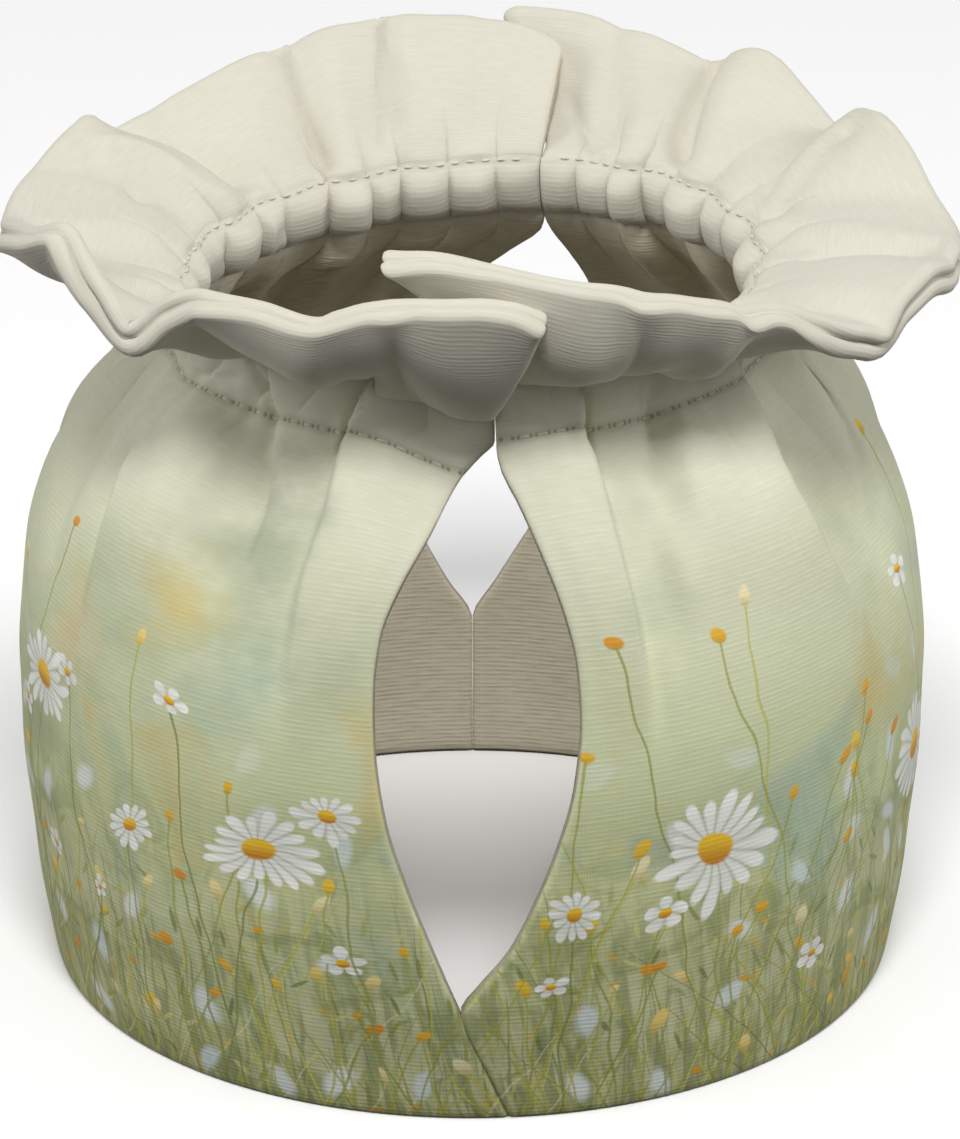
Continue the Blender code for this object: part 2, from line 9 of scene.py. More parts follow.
import bpy
import numpy as np
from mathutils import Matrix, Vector


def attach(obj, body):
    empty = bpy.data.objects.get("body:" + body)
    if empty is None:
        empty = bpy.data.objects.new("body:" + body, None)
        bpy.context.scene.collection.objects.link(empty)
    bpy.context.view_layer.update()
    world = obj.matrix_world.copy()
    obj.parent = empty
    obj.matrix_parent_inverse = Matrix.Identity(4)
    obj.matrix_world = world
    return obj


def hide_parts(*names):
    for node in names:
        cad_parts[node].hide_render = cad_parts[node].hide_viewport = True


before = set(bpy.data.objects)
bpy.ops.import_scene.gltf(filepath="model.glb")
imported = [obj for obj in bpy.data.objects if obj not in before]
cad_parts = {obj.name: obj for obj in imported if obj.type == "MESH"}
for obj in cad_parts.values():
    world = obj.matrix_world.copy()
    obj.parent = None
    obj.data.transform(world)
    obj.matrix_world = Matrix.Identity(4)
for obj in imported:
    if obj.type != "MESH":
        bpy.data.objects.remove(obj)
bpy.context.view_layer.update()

MM = 0.001

# The hem's centre, seen from the middle of the whole cosy
AXIS = np.array([-1.52185, -1.73325, 0.0])

GAP_BETWEEN_HALVES = 0.08
RUFFLE_CLOTH = 3.2
RIM_CLOTH = 6.4
RIM_INSET = 1.5
PUFF_INWARD = 3.2
PUFF_OUTWARD = 1.5
PUFF_SQUARENESS = 0.5
PUFF_FULLNESS = 0.86
PUFF_VARIETY = 0.26
PUFF_LEAN = 0.16
PUCKER_DEPTH = 1.9
PUCKER_BULGE = 0.9
PUCKER_LENGTH = 5.5
FOLD_STEEP_SIDE = 0.75
FOLD_LONG_SIDE = 1.7
FOLD_RIDGE_PLACE = -1.9
FOLD_RIDGE_WIDTH = 1.3
FOLD_RIDGE_HEIGHT = 0.5
PLEAT_STRENGTH = 1.45
PLEATS_DEEPEST = 106.0
PLEATS_FLATTEN_FROM = 112.0
PLEATS_LEFT_AT_CASING = 0.4
RUFFLE_FOLDS_BEGIN = 0.25
RUFFLE_FOLDS_AT_RIM = 0.5
PUCKER_OUTSIDE = 0.4
PUCKER_BULGE_INSIDE = 0.5
EDGE_STEPS = 4
NECK_SLOPE_FROM = 92.0
LOWER_STITCHING = 120.0
UPPER_STITCHING = 131.0
RELIEF_FADE = 26.0
CREASE_POWER = 1.7
CORNER_SOFTNESS = 0.2

# How fine the grid of cloth is; the front has closer columns than the back
DENSE_STEPS = 3401
COLUMNS_IN_FRONT_PUFF = 22
COLUMNS_IN_BACK_PUFF = 13
FRONT_ENDS_AT = 60.0
LEAST_COLUMN = 0.09

# Edges, stitching and unevenness of the fine cloth
END_ROUNDING = 1.5
END_SHARE = 0.55
HEM_ROUNDING = 1.6
STITCH_WIDTH = 0.75
STITCH_PULL = 0.5
SMALL_PUCKER = 0.16
UNEVEN = 0.20
RUFFLE_UNEVEN = 0.25

# The lining begins this far below the lower stitching
LINING_BELOW_SEAM = 1.4

# One stitch and its pitch along the seam, and its thread
PITCH = 4.4
STITCH = 2.9
THREAD_RADIUS = 0.25
THREAD_SIDES = 6
THREAD_RINGS = 5

# Length of the ruffle along the cloth, as it counts in the print
RUFFLE_LENGTH = 36.0
PRINT_RADIUS = 80.0

# How far the fine layers of the print are moved from where they would lie
SHAKE = 5.6

# Millimetres on the cloth for one unit of its UV map
UV_SCALE = 100.0

def table(names, rows):
    """Rows of values under column names, as a list of dictionaries."""
    return [dict(zip(names.split(), row)) for row in rows]


WALL = table("height radius cloth puff", [
    (0, 75, 3, 0), (5, 75.9, 3.2, 0), (13, 77.1, 3.2, 0), (23, 78.4, 3.2, 0), (34, 79.5, 3.2, 0),
    (46, 80.3, 3.2, 0), (57.5, 80.4, 3.2, 0), (69, 79.7, 3.2, 0), (79.5, 78.2, 3.2, 0),
    (88.5, 75.9, 3.2, 0), (96.5, 72.9, 3.2, 0.05), (103.5, 68.9, 3.1, 0.12), (110, 63.9, 3, 0.25),
    (115.5, 59, 2.9, 0.4), (120, 55.2, 2.4, 0.05), (123.4, 53.4, 2.9, 0.9), (127.2, 52.6, 2.9, 1),
    (131, 52.4, 2.4, 0.05),
])

LEFT = {
    "name": "left_half",
    "side": -1.0,
    # Relief of the body by lines from the waist up to the ruffle, front to back:
    # (length, angle) spots, the offset, and where the line starts, is full and ends
    "relief": table("line offset starts full ends", [
        ([(60, 8), (150, 8)], 0.2, 60, 110, 150),
        ([(80, 22.4), (100, 22.2), (106, 21.6), (112, 21), (117, 21.4), (124, 21.9), (129, 21.4),
         (133, 20.4), (137, 18), (146, 14), (156, 11)], 2.8, 66, 106, 154),
        ([(80, 25.6), (100, 25.4), (106, 24.8), (112, 24.2), (117, 24.2), (124, 24.3), (129, 23.4),
         (133, 22.4), (137, 20), (146, 15.8), (156, 13)], -3, 72, 106, 154),
        ([(80, 30), (106, 29.6), (112, 30), (117, 31), (124, 33), (130, 34.5), (140, 36)],
         -3.4, 78, 108, 142),
        ([(92, 32.2), (104, 33), (111, 33.6), (116, 35), (121, 37), (128, 38.8), (133, 40.3),
         (140, 43)], -5, 82, 112, 141),
        ([(92, 34.6), (104, 35.4), (111, 36), (116, 37.2), (121, 39.2), (128, 41), (133, 42.6),
         (140, 45)], -8.2, 86, 113, 141),
        ([(92, 39.5), (104, 40), (116, 42.6), (128, 46), (140, 50)], -5.4, 86, 114, 141),
        ([(92, 44.5), (104, 45.5), (116, 47.5), (128, 51), (140, 53.5)], -0.6, 86, 114, 148),
        ([(80, 50), (98, 50), (106, 51), (112, 53), (120, 55), (128, 56), (140, 57)], 1.8, 70, 110, 146),
        ([(74, 57.4), (90, 58), (101, 58.6), (106, 60), (111, 60.4), (116.6, 60.9), (125, 62),
         (140, 63.5)], 1.9, 66, 108, 146),
        ([(74, 60.4), (90, 61), (101, 61.6), (106, 63), (111, 63.4), (116.6, 64), (125, 65),
         (140, 66.5)], -2.8, 78, 116, 146),
        ([(74, 70), (140, 73)], -1.8, 78, 116, 146),
        ([(74, 80), (140, 82)], 0, 80, 118, 146),
    ]),
    # Panels that swell to an edge: (angle, length) spots, depth, widths and the faded ends
    "folds": table("line depth swell drop hollow fade turn", [
        ([(113, 171), (115.6, 167), (119, 158), (120.7, 147), (127, 139)], -3, 8, 3, 9, (0.1, 0.25), 1),
        ([(86, 172), (87.3, 166), (94.6, 151), (97, 141)], -2.2, 6, 4, 9, (0.1, 0.3), -1),
    ]),
    # Troughs, or ridges where the depth is negative, with a width on each side
    "creases": table("line depth near far fade", [
        ([(46, 143), (44.4, 136), (42.2, 132), (41, 128), (39, 122), (36.4, 114)],
         1.3, 0.7, 0.8, (0.1, 0.6)),
        ([(12.1, 156), (15.9, 146), (20, 137), (22.4, 133), (23.2, 129), (24, 124), (24, 117)],
         1.3, 0.7, 0.8, (0.2, 0.3)),
        ([(60, 129), (53, 130.5), (46, 132.5)], 0.9, 0.8, 1, (0.12, 0.3)),
        ([(153.2, 175), (151.4, 160.5), (151.2, 144), (151, 139)], -2.3, 2.8, 1, (0.02, 0.2)),
        ([(168, 175), (167.7, 156), (166.5, 141)], -2, 2.6, 0.9, (0.02, 0.3)),
        ([(108, 158), (104.5, 151)], -1.2, 2.6, 2.6, (0.4, 0.4)),
    ]),
    # Where the ruffle turns up to its rim, and how closely it keeps to that
    "corner": table("angle radius height hold", [
        (-9.6, 67, 139.1, 1), (-6.5, 67, 136.1, 1), (-2, 67, 134.7, 1), (3, 67.2, 135.5, 1),
        (7, 68, 138.7, 1), (10.6, 68.6, 142.6, 1), (14, 69.8, 140.5, 1), (18.5, 70.2, 138.5, 1),
        (24, 70.2, 137.7, 1), (30, 69.6, 138.3, 1), (36, 68.6, 139.5, 1), (40.5, 67, 140.3, 1),
        (45, 69, 137.7, 0.8), (50, 71, 137.1, 0.3), (56, 71, 137.1, 0),
    ]),
    # Lines between the puffs of the casing, from the front end to the back end
    "puff_lines": [
        -4.4, 8, 19, 30, 41, 53, 64, 76, 85, 96, 106.3, 118.6, 130, 138, 149.7, 158, 165.3, 175, 185,
        194,
    ],
    # How far the neck rides above or below the WALL heights, and how tightly
    # the casing is gathered there
    "neck": table("angle rise gather", [
        (-4.4, -6.6, 0.15), (1.6, -5.8, 0.2), (9, -3.2, 0.3), (17.5, -0.6, 0.4), (28, 0.4, 0.7),
        (60, -0.6, 0.9), (110, -2.2, 1), (150, -1.8, 1), (180, -0.4, 0.8), (194, 0.6, 0.5),
    ]),
    # Front edge: the seam up to 22 high, then the slit, then the neck joint
    "front_edge": table("height angle", [
        (0, -5), (10, -1.9), (22, 1.4), (28, 3.1), (35.5, 5.1), (47.3, 8.1), (58.6, 10.5), (73.6, 12.1),
        (84, 12.4), (91.6, 11.9), (99.5, 9.7), (107, 6), (113, 2.3), (117, -2), (119.4, -4.4),
        (132, -4.4),
    ]),
    "back_edge": table("height angle", [
        (0, 180), (26, 180), (34, 176.6), (46, 172.4), (60, 169.6), (76, 169.6), (90, 173.2),
        (101, 179.4), (110, 187), (117, 193.2), (120, 194), (132, 194),
    ]),
    # Ends of the ruffle, by the share of the way from the casing to the rim
    "ruffle_front": table("share angle", [
        (0, -4.4), (0.2, -4.4), (0.4, -5.4), (0.7, -7.6), (1, -9.6),
    ]),
    "ruffle_back": table("share angle", [
        (0, 194), (0.5, 193.9), (1, 193.4),
    ]),
    # The free edge of the ruffle, with the slope of the cloth where it starts
    # at the casing and the slope, tilt, that it has at the edge
    "rim": table("angle radius height start tilt", [
        (-9.6, 75.5, 150.2, 6, 28), (-5, 75, 152.4, 7, 36), (0, 74.5, 153, 7, 42),
        (6.5, 74.5, 153, 8, 42), (12.5, 76.5, 152.4, 9, 36), (17.7, 77.5, 150.4, 10, 28),
        (23.5, 77, 149.5, 11, 26), (29, 76.8, 150, 14, 30), (36.5, 77.4, 149.6, 17, 28),
        (43, 78.6, 145.2, 19, 8), (47.5, 80.6, 141.2, 22, -8), (53, 82, 146.6, 20, 34),
        (60, 83.4, 153.2, 14, 72), (68, 83.8, 149.6, 12, 66), (80, 84.2, 143.6, 18, 34),
        (90, 83.4, 139.8, 30, 6), (100, 82, 141, 39, 0), (108.5, 80.5, 143.2, 40, 6),
        (116, 80, 144, 40, 2), (122.7, 79.6, 139.8, 40, -12), (129, 79, 139.6, 40, 4),
        (137, 78.4, 142.4, 40, 14), (148, 78, 145.4, 40, 14), (154.4, 78, 146.6, 40, 10),
        (160, 78, 148.4, 40, 16), (168, 78, 149.2, 40, 18), (175.6, 78, 149.4, 40, 16),
        (183.8, 77.2, 148.6, 41, 18), (190.5, 75.2, 147, 43, 24), (193.4, 73.4, 145.6, 44, 26),
    ]),
    # Folds of the ruffle from the casing to the rim; lean says which side is steep
    "ruffle_folds": table("neck rim depth width lean", [
        (24, 20, 1.4, 3, 1), (46, 45.5, 2, 3.2, 1), (80, 60, -1.6, 4, 1), (112, 104, 1.3, 5, 1),
        (133, 123, 3.4, 3.4, 1), (152, 154.6, 2.2, 3, -1), (160, 167.6, 2.2, 2.8, -1),
        (180, 182, 1.2, 3.4, 1),
    ]),
    # Soft folds of the body that run down from the neck
    "pleats": table("top low end depth width", [
        (76, 73, 80, 1.8, 4.2), (92, 95, 66, 2.2, 3.6), (106, 104, 84, 1.6, 3.4),
        (121, 127, 70, 2.4, 4), (139, 141, 78, 1.8, 3.4), (154, 152, 66, 2.3, 3.8),
        (171, 163, 82, 1.7, 3.4),
    ]),
}

RIGHT = {
    "name": "right_half",
    "side": 1.0,
    "relief": table("line offset starts full ends", [
        ([(60, 8), (150, 8)], 0.2, 60, 110, 150),
        ([(80, 21.4), (94, 21.2), (100, 20.7), (107, 20.2), (112, 20), (117, 20.2), (122, 20),
         (125, 19.4), (129, 20), (133, 20), (136, 18.6), (142, 16.5)], 2.4, 68, 108, 148),
        ([(80, 24), (94, 23.6), (100, 23.1), (107, 22.6), (112, 22.5), (117, 22.5), (122, 22.1),
         (125, 21.4), (129, 21.9), (133, 21.9), (136, 20.4), (142, 18.4)], -3, 66, 106, 148),
        ([(100, 26.6), (112, 26.6), (117, 27), (122, 27.6), (128, 29), (140, 31)], -3.6, 78, 112, 143),
        ([(110, 30.5), (117, 31.5), (121, 32.8), (125, 34), (129, 35), (133, 36.2), (140, 38.5)],
         -4.4, 98, 119, 142),
        ([(110, 35.5), (117, 36), (121, 38), (125, 39.5), (129, 41), (140, 45)], 0.6, 90, 114, 146),
        ([(80, 44), (110, 45), (125, 48), (140, 51)], 1.7, 72, 110, 146),
        ([(68, 63), (76, 60.5), (84, 57.8), (92, 55.2), (100, 53.2), (107, 52.2), (112, 52.4),
         (117, 53.6), (121, 55), (125, 56), (130, 57), (140, 58)], 1.9, 64, 104, 146),
        ([(68, 66), (76, 63.5), (84, 60.8), (92, 58.2), (100, 56.2), (107, 55.2), (112, 55.4),
         (117, 56.6), (121, 58), (125, 59), (130, 60), (140, 61)], -3.2, 70, 106, 146),
        ([(70, 73), (110, 64.5), (140, 66)], -4.6, 76, 108, 141),
        ([(76, 75), (96, 73), (114, 74), (140, 76)], -2.4, 78, 110, 146),
        ([(80, 77.5), (96, 77.5), (114, 82), (140, 84)], 1, 80, 110, 146),
        ([(80, 81), (96, 81), (114, 85.4), (140, 88)], -1.4, 84, 112, 146),
        ([(80, 92), (140, 98)], 0, 80, 110, 146),
    ]),
    "folds": [],
    "creases": table("line depth near far fade", [
        ([(18, 142), (20.2, 136), (21.8, 132.5), (21.6, 129), (21.2, 125), (22, 121), (22.4, 116),
         (22.4, 108)], 1.4, 0.7, 0.8, (0.1, 0.5)),
        ([(39, 141), (37.3, 135), (36, 131), (34.2, 126), (33, 121)], 1.4, 0.8, 0.9, (0.2, 0.4)),
        ([(145, 175), (142.6, 158), (141, 150), (135, 139)], -2.2, 3.4, 2, (0.02, 0.2)),
        ([(114.5, 170), (110, 156), (106, 147), (97, 141)], -2.2, 3.6, 2, (0.04, 0.2)),
        ([(80.7, 174), (80, 156), (78, 144)], -1.6, 2.6, 1.8, (0.04, 0.3)),
        ([(165, 160), (163.2, 154), (154.7, 140), (150, 136)], -1.2, 1.6, 1, (0.3, 0.2)),
    ]),
    "corner": table("angle radius height hold", [
        (-12.6, 62.5, 148.3, 0.7), (0, 63.5, 145.3, 0.9), (8, 65.6, 141.8, 1), (13, 67.4, 138.7, 1),
        (18, 68.4, 137.1, 1), (21, 68.4, 138.1, 1), (23, 67.6, 140.1, 1), (27, 69.4, 138.3, 1),
        (31, 69.6, 137.3, 1), (35.5, 69.8, 136.5, 1), (38.6, 68.4, 138.9, 1), (43, 69.6, 135.9, 1),
        (48, 70.8, 133.9, 0.7), (53, 71.4, 133, 0.3), (59, 72, 132, 0),
    ]),
    "puff_lines": [
        4.4, 14, 22.5, 33, 44, 56, 68, 79, 90, 102, 114.2, 124.7, 135.5, 143.3, 149.7, 158, 166,
    ],
    "neck": table("angle rise gather", [
        (4.4, 0.4, 0.15), (20, 1.2, 0.35), (40, 1.3, 0.8), (60, 1.4, 0.9), (90, 2.2, 1), (130, 2.4, 1),
        (152, 1.6, 0.8), (166, 0.6, 0.5),
    ]),
    "front_edge": table("height angle", [
        (0, 5), (10, 1.9), (22, -1.4), (27.4, 1), (34, 4.6), (43.5, 7.8), (54.7, 10.8), (65.9, 12.9),
        (78.5, 13.9), (86.5, 13.7), (94.5, 12.6), (104, 10.2), (111.3, 7.6), (117.4, 4.7), (119.4, 4.4),
        (134, 4.4),
    ]),
    "back_edge": table("height angle", [
        (0, 180), (26, 180), (34, 176.8), (46, 171.8), (60, 166.6), (76, 162.6), (90, 161),
        (101, 161.6), (110, 163.6), (117, 165.6), (120, 166), (134, 166),
    ]),
    "ruffle_front": table("share angle", [
        (0, 4.4), (0.16, 4.4), (0.34, 2.2), (0.6, -4.6), (0.85, -10.2), (1, -12.6),
    ]),
    "ruffle_back": table("share angle", [
        (0, 166), (0.12, 166.1), (0.25, 167.4), (0.5, 170.2), (0.8, 173.2), (1, 175.2),
    ]),
    "rim": table("angle radius height start tilt", [
        (-12.6, 68, 158.6, 34, 44), (-7, 67.6, 158.8, 33, 52), (2.9, 68.4, 157.4, 30, 58),
        (11.8, 71, 155.4, 22, 56), (17.9, 73.6, 154, 20, 50), (26.5, 76, 152, 17, 42),
        (34.5, 77, 148.6, 17, 24), (40, 77, 146.8, 19, 16), (43.8, 78.2, 145.2, 20, 12),
        (48.5, 80.4, 141.4, 22, 0), (55, 82.4, 136.8, 25, -18), (59, 84, 136, 27, -22),
        (63.5, 84.6, 139.6, 29, 0), (70, 85.4, 140.6, 32, 4), (80, 87.2, 138.4, 36, -4),
        (90, 86.2, 137.6, 37, -8), (97, 84.4, 139.2, 38, 2), (105, 82, 145.4, 38, 22),
        (110.5, 81.2, 147.6, 39, 30), (116, 81.4, 146, 40, 22), (124.5, 82, 139.2, 39, -10),
        (131.5, 82, 143.4, 38, 8), (137.5, 81.2, 148.8, 38, 30), (145.5, 80.6, 144.8, 37, 8),
        (155.5, 81.4, 146.6, 18, 22), (166.5, 84, 149.2, 2, 48), (173.5, 85, 149.6, 1, 56),
        (175.2, 85, 147.8, 0, 54),
    ]),
    "ruffle_folds": table("neck rim depth width lean", [
        (22.5, 23, 1.4, 2.8, 1), (33, 38, 1.8, 3, 1), (56, 58, 1.6, 3.4, 1), (86, 77, 2, 3.2, -1),
        (108, 123.5, 2.4, 3.4, 1), (135, 146, 2.4, 3, 1), (151, 160, 1.5, 2.8, 1),
    ]),
    "pleats": table("top low end depth width", [
        (81, 74, 86, 1.9, 3.4), (96, 92, 72, 1.8, 3.8), (113, 116, 64, 2.4, 4),
        (129, 128, 84, 1.6, 3.4), (146, 143, 70, 2.2, 3.8),
    ]),
}


def column(rows, name):
    return np.array([row[name] for row in rows], float)


def curve(keys, values, x):
    """A smooth line through table values that never overshoots them."""
    keys = np.asarray(keys, float)
    values = np.asarray(values, float)
    step = np.diff(keys)
    rise = np.diff(values) / step
    slope = np.zeros(len(keys))
    slope[0] = rise[0]
    slope[-1] = rise[-1]
    for k in range(1, len(keys) - 1):
        if rise[k - 1] * rise[k] > 0:
            before = 2 * step[k] + step[k - 1]
            after = step[k] + 2 * step[k - 1]
            slope[k] = (before + after) / (before / rise[k - 1] + after / rise[k])
    x = np.clip(np.asarray(x, float), keys[0], keys[-1])
    i = np.clip(np.searchsorted(keys, x, side="right") - 1, 0, len(step) - 1)
    t = (x - keys[i]) / step[i]
    return (
        (1 + 2 * t) * (1 - t) ** 2 * values[i]
        + t * (1 - t) ** 2 * step[i] * slope[i]
        + t * t * (3 - 2 * t) * values[i + 1]
        + t * t * (t - 1) * step[i] * slope[i + 1]
    )


def look_up(rows, key, name, x):
    return curve(column(rows, key), column(rows, name), x)


def ease(low, high, x):
    t = np.clip((np.asarray(x, float) - low) / (high - low), 0.0, 1.0)
    return t * t * (3 - 2 * t)


def half_gap(radius):
    """Half the gap between the halves, as an angle at this radius."""
    return np.degrees(GAP_BETWEEN_HALVES / 2 / radius)


def edge_angles(half, height, radius):
    """Angles of the front and back edges of the wall at one row."""
    angles = []
    for name, first_guess, sign in (("front_edge", 0.0, 1.0), ("back_edge", 180.0, -1.0)):
        angle = first_guess
        for _ in range(EDGE_STEPS):
            seen = height + neck_lift(half, height, angle)
            angle = float(look_up(half[name], "height", "angle", seen))
        angles.append(angle + sign * half_gap(radius))
    return angles


def neck_lift(half, height, angle):
    rise = look_up(half["neck"], "angle", "rise", angle)
    return rise * ease(NECK_SLOPE_FROM, LOWER_STITCHING, height)


def bell(x, width):
    return np.exp(-((x / width) ** 2))


def fold_profile(x):
    """A trough with a steep near side, a long far side and a ridge before it."""
    trough = np.where(x < 0, bell(x, FOLD_STEEP_SIDE), bell(x, FOLD_LONG_SIDE))
    return FOLD_RIDGE_HEIGHT * bell(x - FOLD_RIDGE_PLACE, FOLD_RIDGE_WIDTH) - trough


def pleat_offset(half, angle, height, radius):
    """Outward offset of the body wall from its pleats."""
    flat = (1 - PLEATS_LEFT_AT_CASING) * ease(PLEATS_FLATTEN_FROM, LOWER_STITCHING, height)
    total = np.zeros(np.shape(angle))
    for pleat in half["pleats"]:
        climb = ease(pleat["end"], LOWER_STITCHING, height)
        line = pleat["low"] + (pleat["top"] - pleat["low"]) * climb
        x = np.radians(angle - line) * radius / pleat["width"]
        strength = ease(pleat["end"], PLEATS_DEEPEST, height) * (1 - flat)
        total += PLEAT_STRENGTH * pleat["depth"] * strength * fold_profile(x)
    return total


def ruffle_fold_offset(half, angle, share, radius):
    """Offset of the ruffle, towards its inner face, from its folds."""
    strength = ease(0.0, RUFFLE_FOLDS_BEGIN, share) * (1 - RUFFLE_FOLDS_AT_RIM * share)
    total = np.zeros(np.shape(angle))
    for fold in half["ruffle_folds"]:
        line = fold["neck"] + (fold["rim"] - fold["neck"]) * share
        x = fold["lean"] * np.radians(angle - line) * radius / fold["width"]
        total += fold["depth"] * strength * fold_profile(x)
    return total


def puff_shape(half, angle):
    """From 0 on the lines between the puffs to 1 on top of a puff."""
    lines = np.array(half["puff_lines"], float)
    inside = np.clip(angle, lines[0], lines[-1])
    i = np.clip(np.searchsorted(lines, inside, side="right") - 1, 0, len(lines) - 2)
    t = (inside - lines[i]) / (lines[i + 1] - lines[i])
    t = t + PUFF_LEAN * np.sin(1.7 * i + 0.6) * np.sin(np.pi * t) ** 2
    full = PUFF_FULLNESS + PUFF_VARIETY * np.sin(2.4 * i + half["side"])
    return full * np.maximum(np.sin(np.pi * t), 0.0) ** PUFF_SQUARENESS


def wall_row(half, index, shares, puffs, gather):
    """One row of the wall; index counts along the WALL table."""
    places = np.arange(len(WALL))
    size = {name: float(curve(places, column(WALL, name), index)) for name in WALL[0]}
    front, back = edge_angles(half, size["height"], size["radius"])
    angle = front + (back - front) * shares
    offset = pleat_offset(half, angle, size["height"], size["radius"])
    return {
        "angle": angle,
        "radius": size["radius"] + offset,
        "height": size["height"] + neck_lift(half, size["height"], angle),
        "cloth": np.full(len(shares), size["cloth"]),
        "outward": PUFF_OUTWARD * size["puff"] * puffs * gather,
        "inward": PUFF_INWARD * size["puff"] * puffs * gather,
    }


def turn_up(half, angle, share, plain, neck, run):
    """Where the ruffle has a corner, it runs out flat and then turns up to its rim."""
    corner = {name: look_up(half["corner"], "angle", name, angle) for name in ("radius", "height", "hold")}
    before, near, far, after = (
        (1 - share) ** 3, 3 * share * (1 - share) ** 2, 3 * share**2 * (1 - share), share**3
    )
    soft = CORNER_SOFTNESS
    placed = []
    for value, start, way, name in zip(plain, neck, run, ("radius", "height")):
        end = start + way
        pull = (corner[name] - soft * start - soft * end) / (1 - 2 * soft)
        near_pull = soft * start + (1 - soft) * pull
        far_pull = soft * end + (1 - soft) * pull
        bent = before * start + near * near_pull + far * far_pull + after * end
        placed.append(value + corner["hold"] * (bent - value))
    return placed


def ruffle_row(half, share, shares, puffs, gather, neck):
    """One row of the ruffle; share runs from 0 at the casing to 1 at the rim."""
    front = float(look_up(half["ruffle_front"], "share", "angle", share))
    back = float(look_up(half["ruffle_back"], "share", "angle", share))
    gap = half_gap(neck["radius"][0])
    angle = front + gap + (back - front - 2 * gap) * shares
    edge = {name: look_up(half["rim"], "angle", name, angle) for name in half["rim"][0]}
    start = np.radians(edge["start"])
    tilt = np.radians(edge["tilt"])
    out = edge["radius"] - RIM_INSET - neck["radius"]
    up = edge["height"] - RIM_INSET - neck["height"]
    length = np.hypot(out, up)
    leave = share * (1 - share) ** 2 * length
    arrive = share * share * (share - 1) * length
    travel = share * share * (3 - 2 * share)
    radius = neck["radius"] + travel * out + leave * np.cos(start) + arrive * np.cos(tilt)
    height = neck["height"] + travel * up + leave * np.sin(start) + arrive * np.sin(tilt)
    start_place = (neck["radius"], neck["height"])
    radius, height = turn_up(half, angle, share, (radius, height), start_place, (out, up))
    fold = ruffle_fold_offset(half, angle, share, radius)
    fade = gather * np.exp(-share * length / PUCKER_LENGTH)
    pinch = PUCKER_DEPTH * (1 - puffs) * fade
    return {
        "angle": angle,
        "radius": radius - fold * up / length,
        "height": height + fold * out / length,
        "cloth": RUFFLE_CLOTH + (RIM_CLOTH - RUFFLE_CLOTH) * share**3 + 0 * angle,
        "outward": PUCKER_BULGE * puffs * fade - PUCKER_OUTSIDE * pinch,
        "inward": PUCKER_BULGE_INSIDE * PUCKER_BULGE * puffs * fade - pinch,
    }


def half_grid(half, shares, wall_rows, ruffle_shares):
    """Rows of a half from hem to rim.

    shares run from 0 at the front end of the half to 1 at its back end.
    """
    lines = np.array(half["puff_lines"], float)
    spread = lines[0] + (lines[-1] - lines[0]) * shares
    puffs = puff_shape(half, spread)
    gather = look_up(half["neck"], "angle", "gather", spread)
    rows = [wall_row(half, index, shares, puffs, gather) for index in wall_rows]
    neck = rows[-1]
    for share in ruffle_shares:
        rows.append(ruffle_row(half, share, shares, puffs, gather, neck))
    return rows


def surface_points(half, rows):
    """Middle points and outward unit normals for every row and column."""
    angle = np.radians(np.array([row["angle"] for row in rows]))
    radius = np.array([row["radius"] for row in rows])
    height = np.array([row["height"] for row in rows])
    points = np.stack(
        [half["side"] * radius * np.sin(angle), -radius * np.cos(angle), height], axis=-1
    )
    along = np.gradient(points, axis=1)
    upward = np.gradient(points, axis=0)
    normal = np.cross(along, upward) * half["side"]
    normal[0, :, 2] = 0.0
    normal /= np.linalg.norm(normal, axis=-1, keepdims=True)
    return points, normal


def wall_places():
    """Places along the WALL table for the rows, close together at the stitching."""
    near_stitches = [-1.8, -1.1, -0.6, -0.25, 0.0, 0.25, 0.6, 1.1, 1.8]
    heights = [0.0, 0.35, 0.9, 1.8]
    heights += list(np.arange(3.6, LOWER_STITCHING - 2.2, 1.9))
    heights += [LOWER_STITCHING + step for step in near_stitches]
    heights += list(np.arange(LOWER_STITCHING + 2.6, UPPER_STITCHING - 2.2, 0.9))
    heights += [UPPER_STITCHING + step for step in near_stitches if step <= 0]
    dense = np.linspace(0, len(WALL) - 1, DENSE_STEPS)
    climb = curve(np.arange(len(WALL)), column(WALL, "height"), dense)
    return np.interp(heights, climb, dense), np.array(heights)


def wall_lengths(places):
    """Length along the cloth from the hem to each row."""
    dense = np.linspace(0, len(WALL) - 1, DENSE_STEPS)
    keys = np.arange(len(WALL))
    radius = curve(keys, column(WALL, "radius"), dense)
    height = curve(keys, column(WALL, "height"), dense)
    length = np.append(0.0, np.cumsum(np.hypot(np.diff(radius), np.diff(height))))
    return np.interp(places, dense, length)


def fine_shares(half):
    """Columns, close together at the puff lines and at both ends of the half."""
    lines = np.array(half["puff_lines"], float)
    shares = []
    for a, b in zip(lines, lines[1:]):
        count = COLUMNS_IN_FRONT_PUFF if a < FRONT_ENDS_AT else COLUMNS_IN_BACK_PUFF
        shares.append(a + (b - a) * (1 - np.cos(np.pi * np.arange(count) / count)) / 2)
    angles = np.append(np.concatenate(shares), lines[-1])
    ends = np.array([0.12, 0.35, 0.7, 1.15])
    angles = np.concatenate([angles, lines[0] + ends, lines[-1] - ends])
    angles = np.unique(np.round(angles, 4))
    keep = np.append(True, np.diff(angles) > LEAST_COLUMN)
    angles = angles[keep]
    angles[-1] = lines[-1]
    return (angles - lines[0]) / (lines[-1] - lines[0])


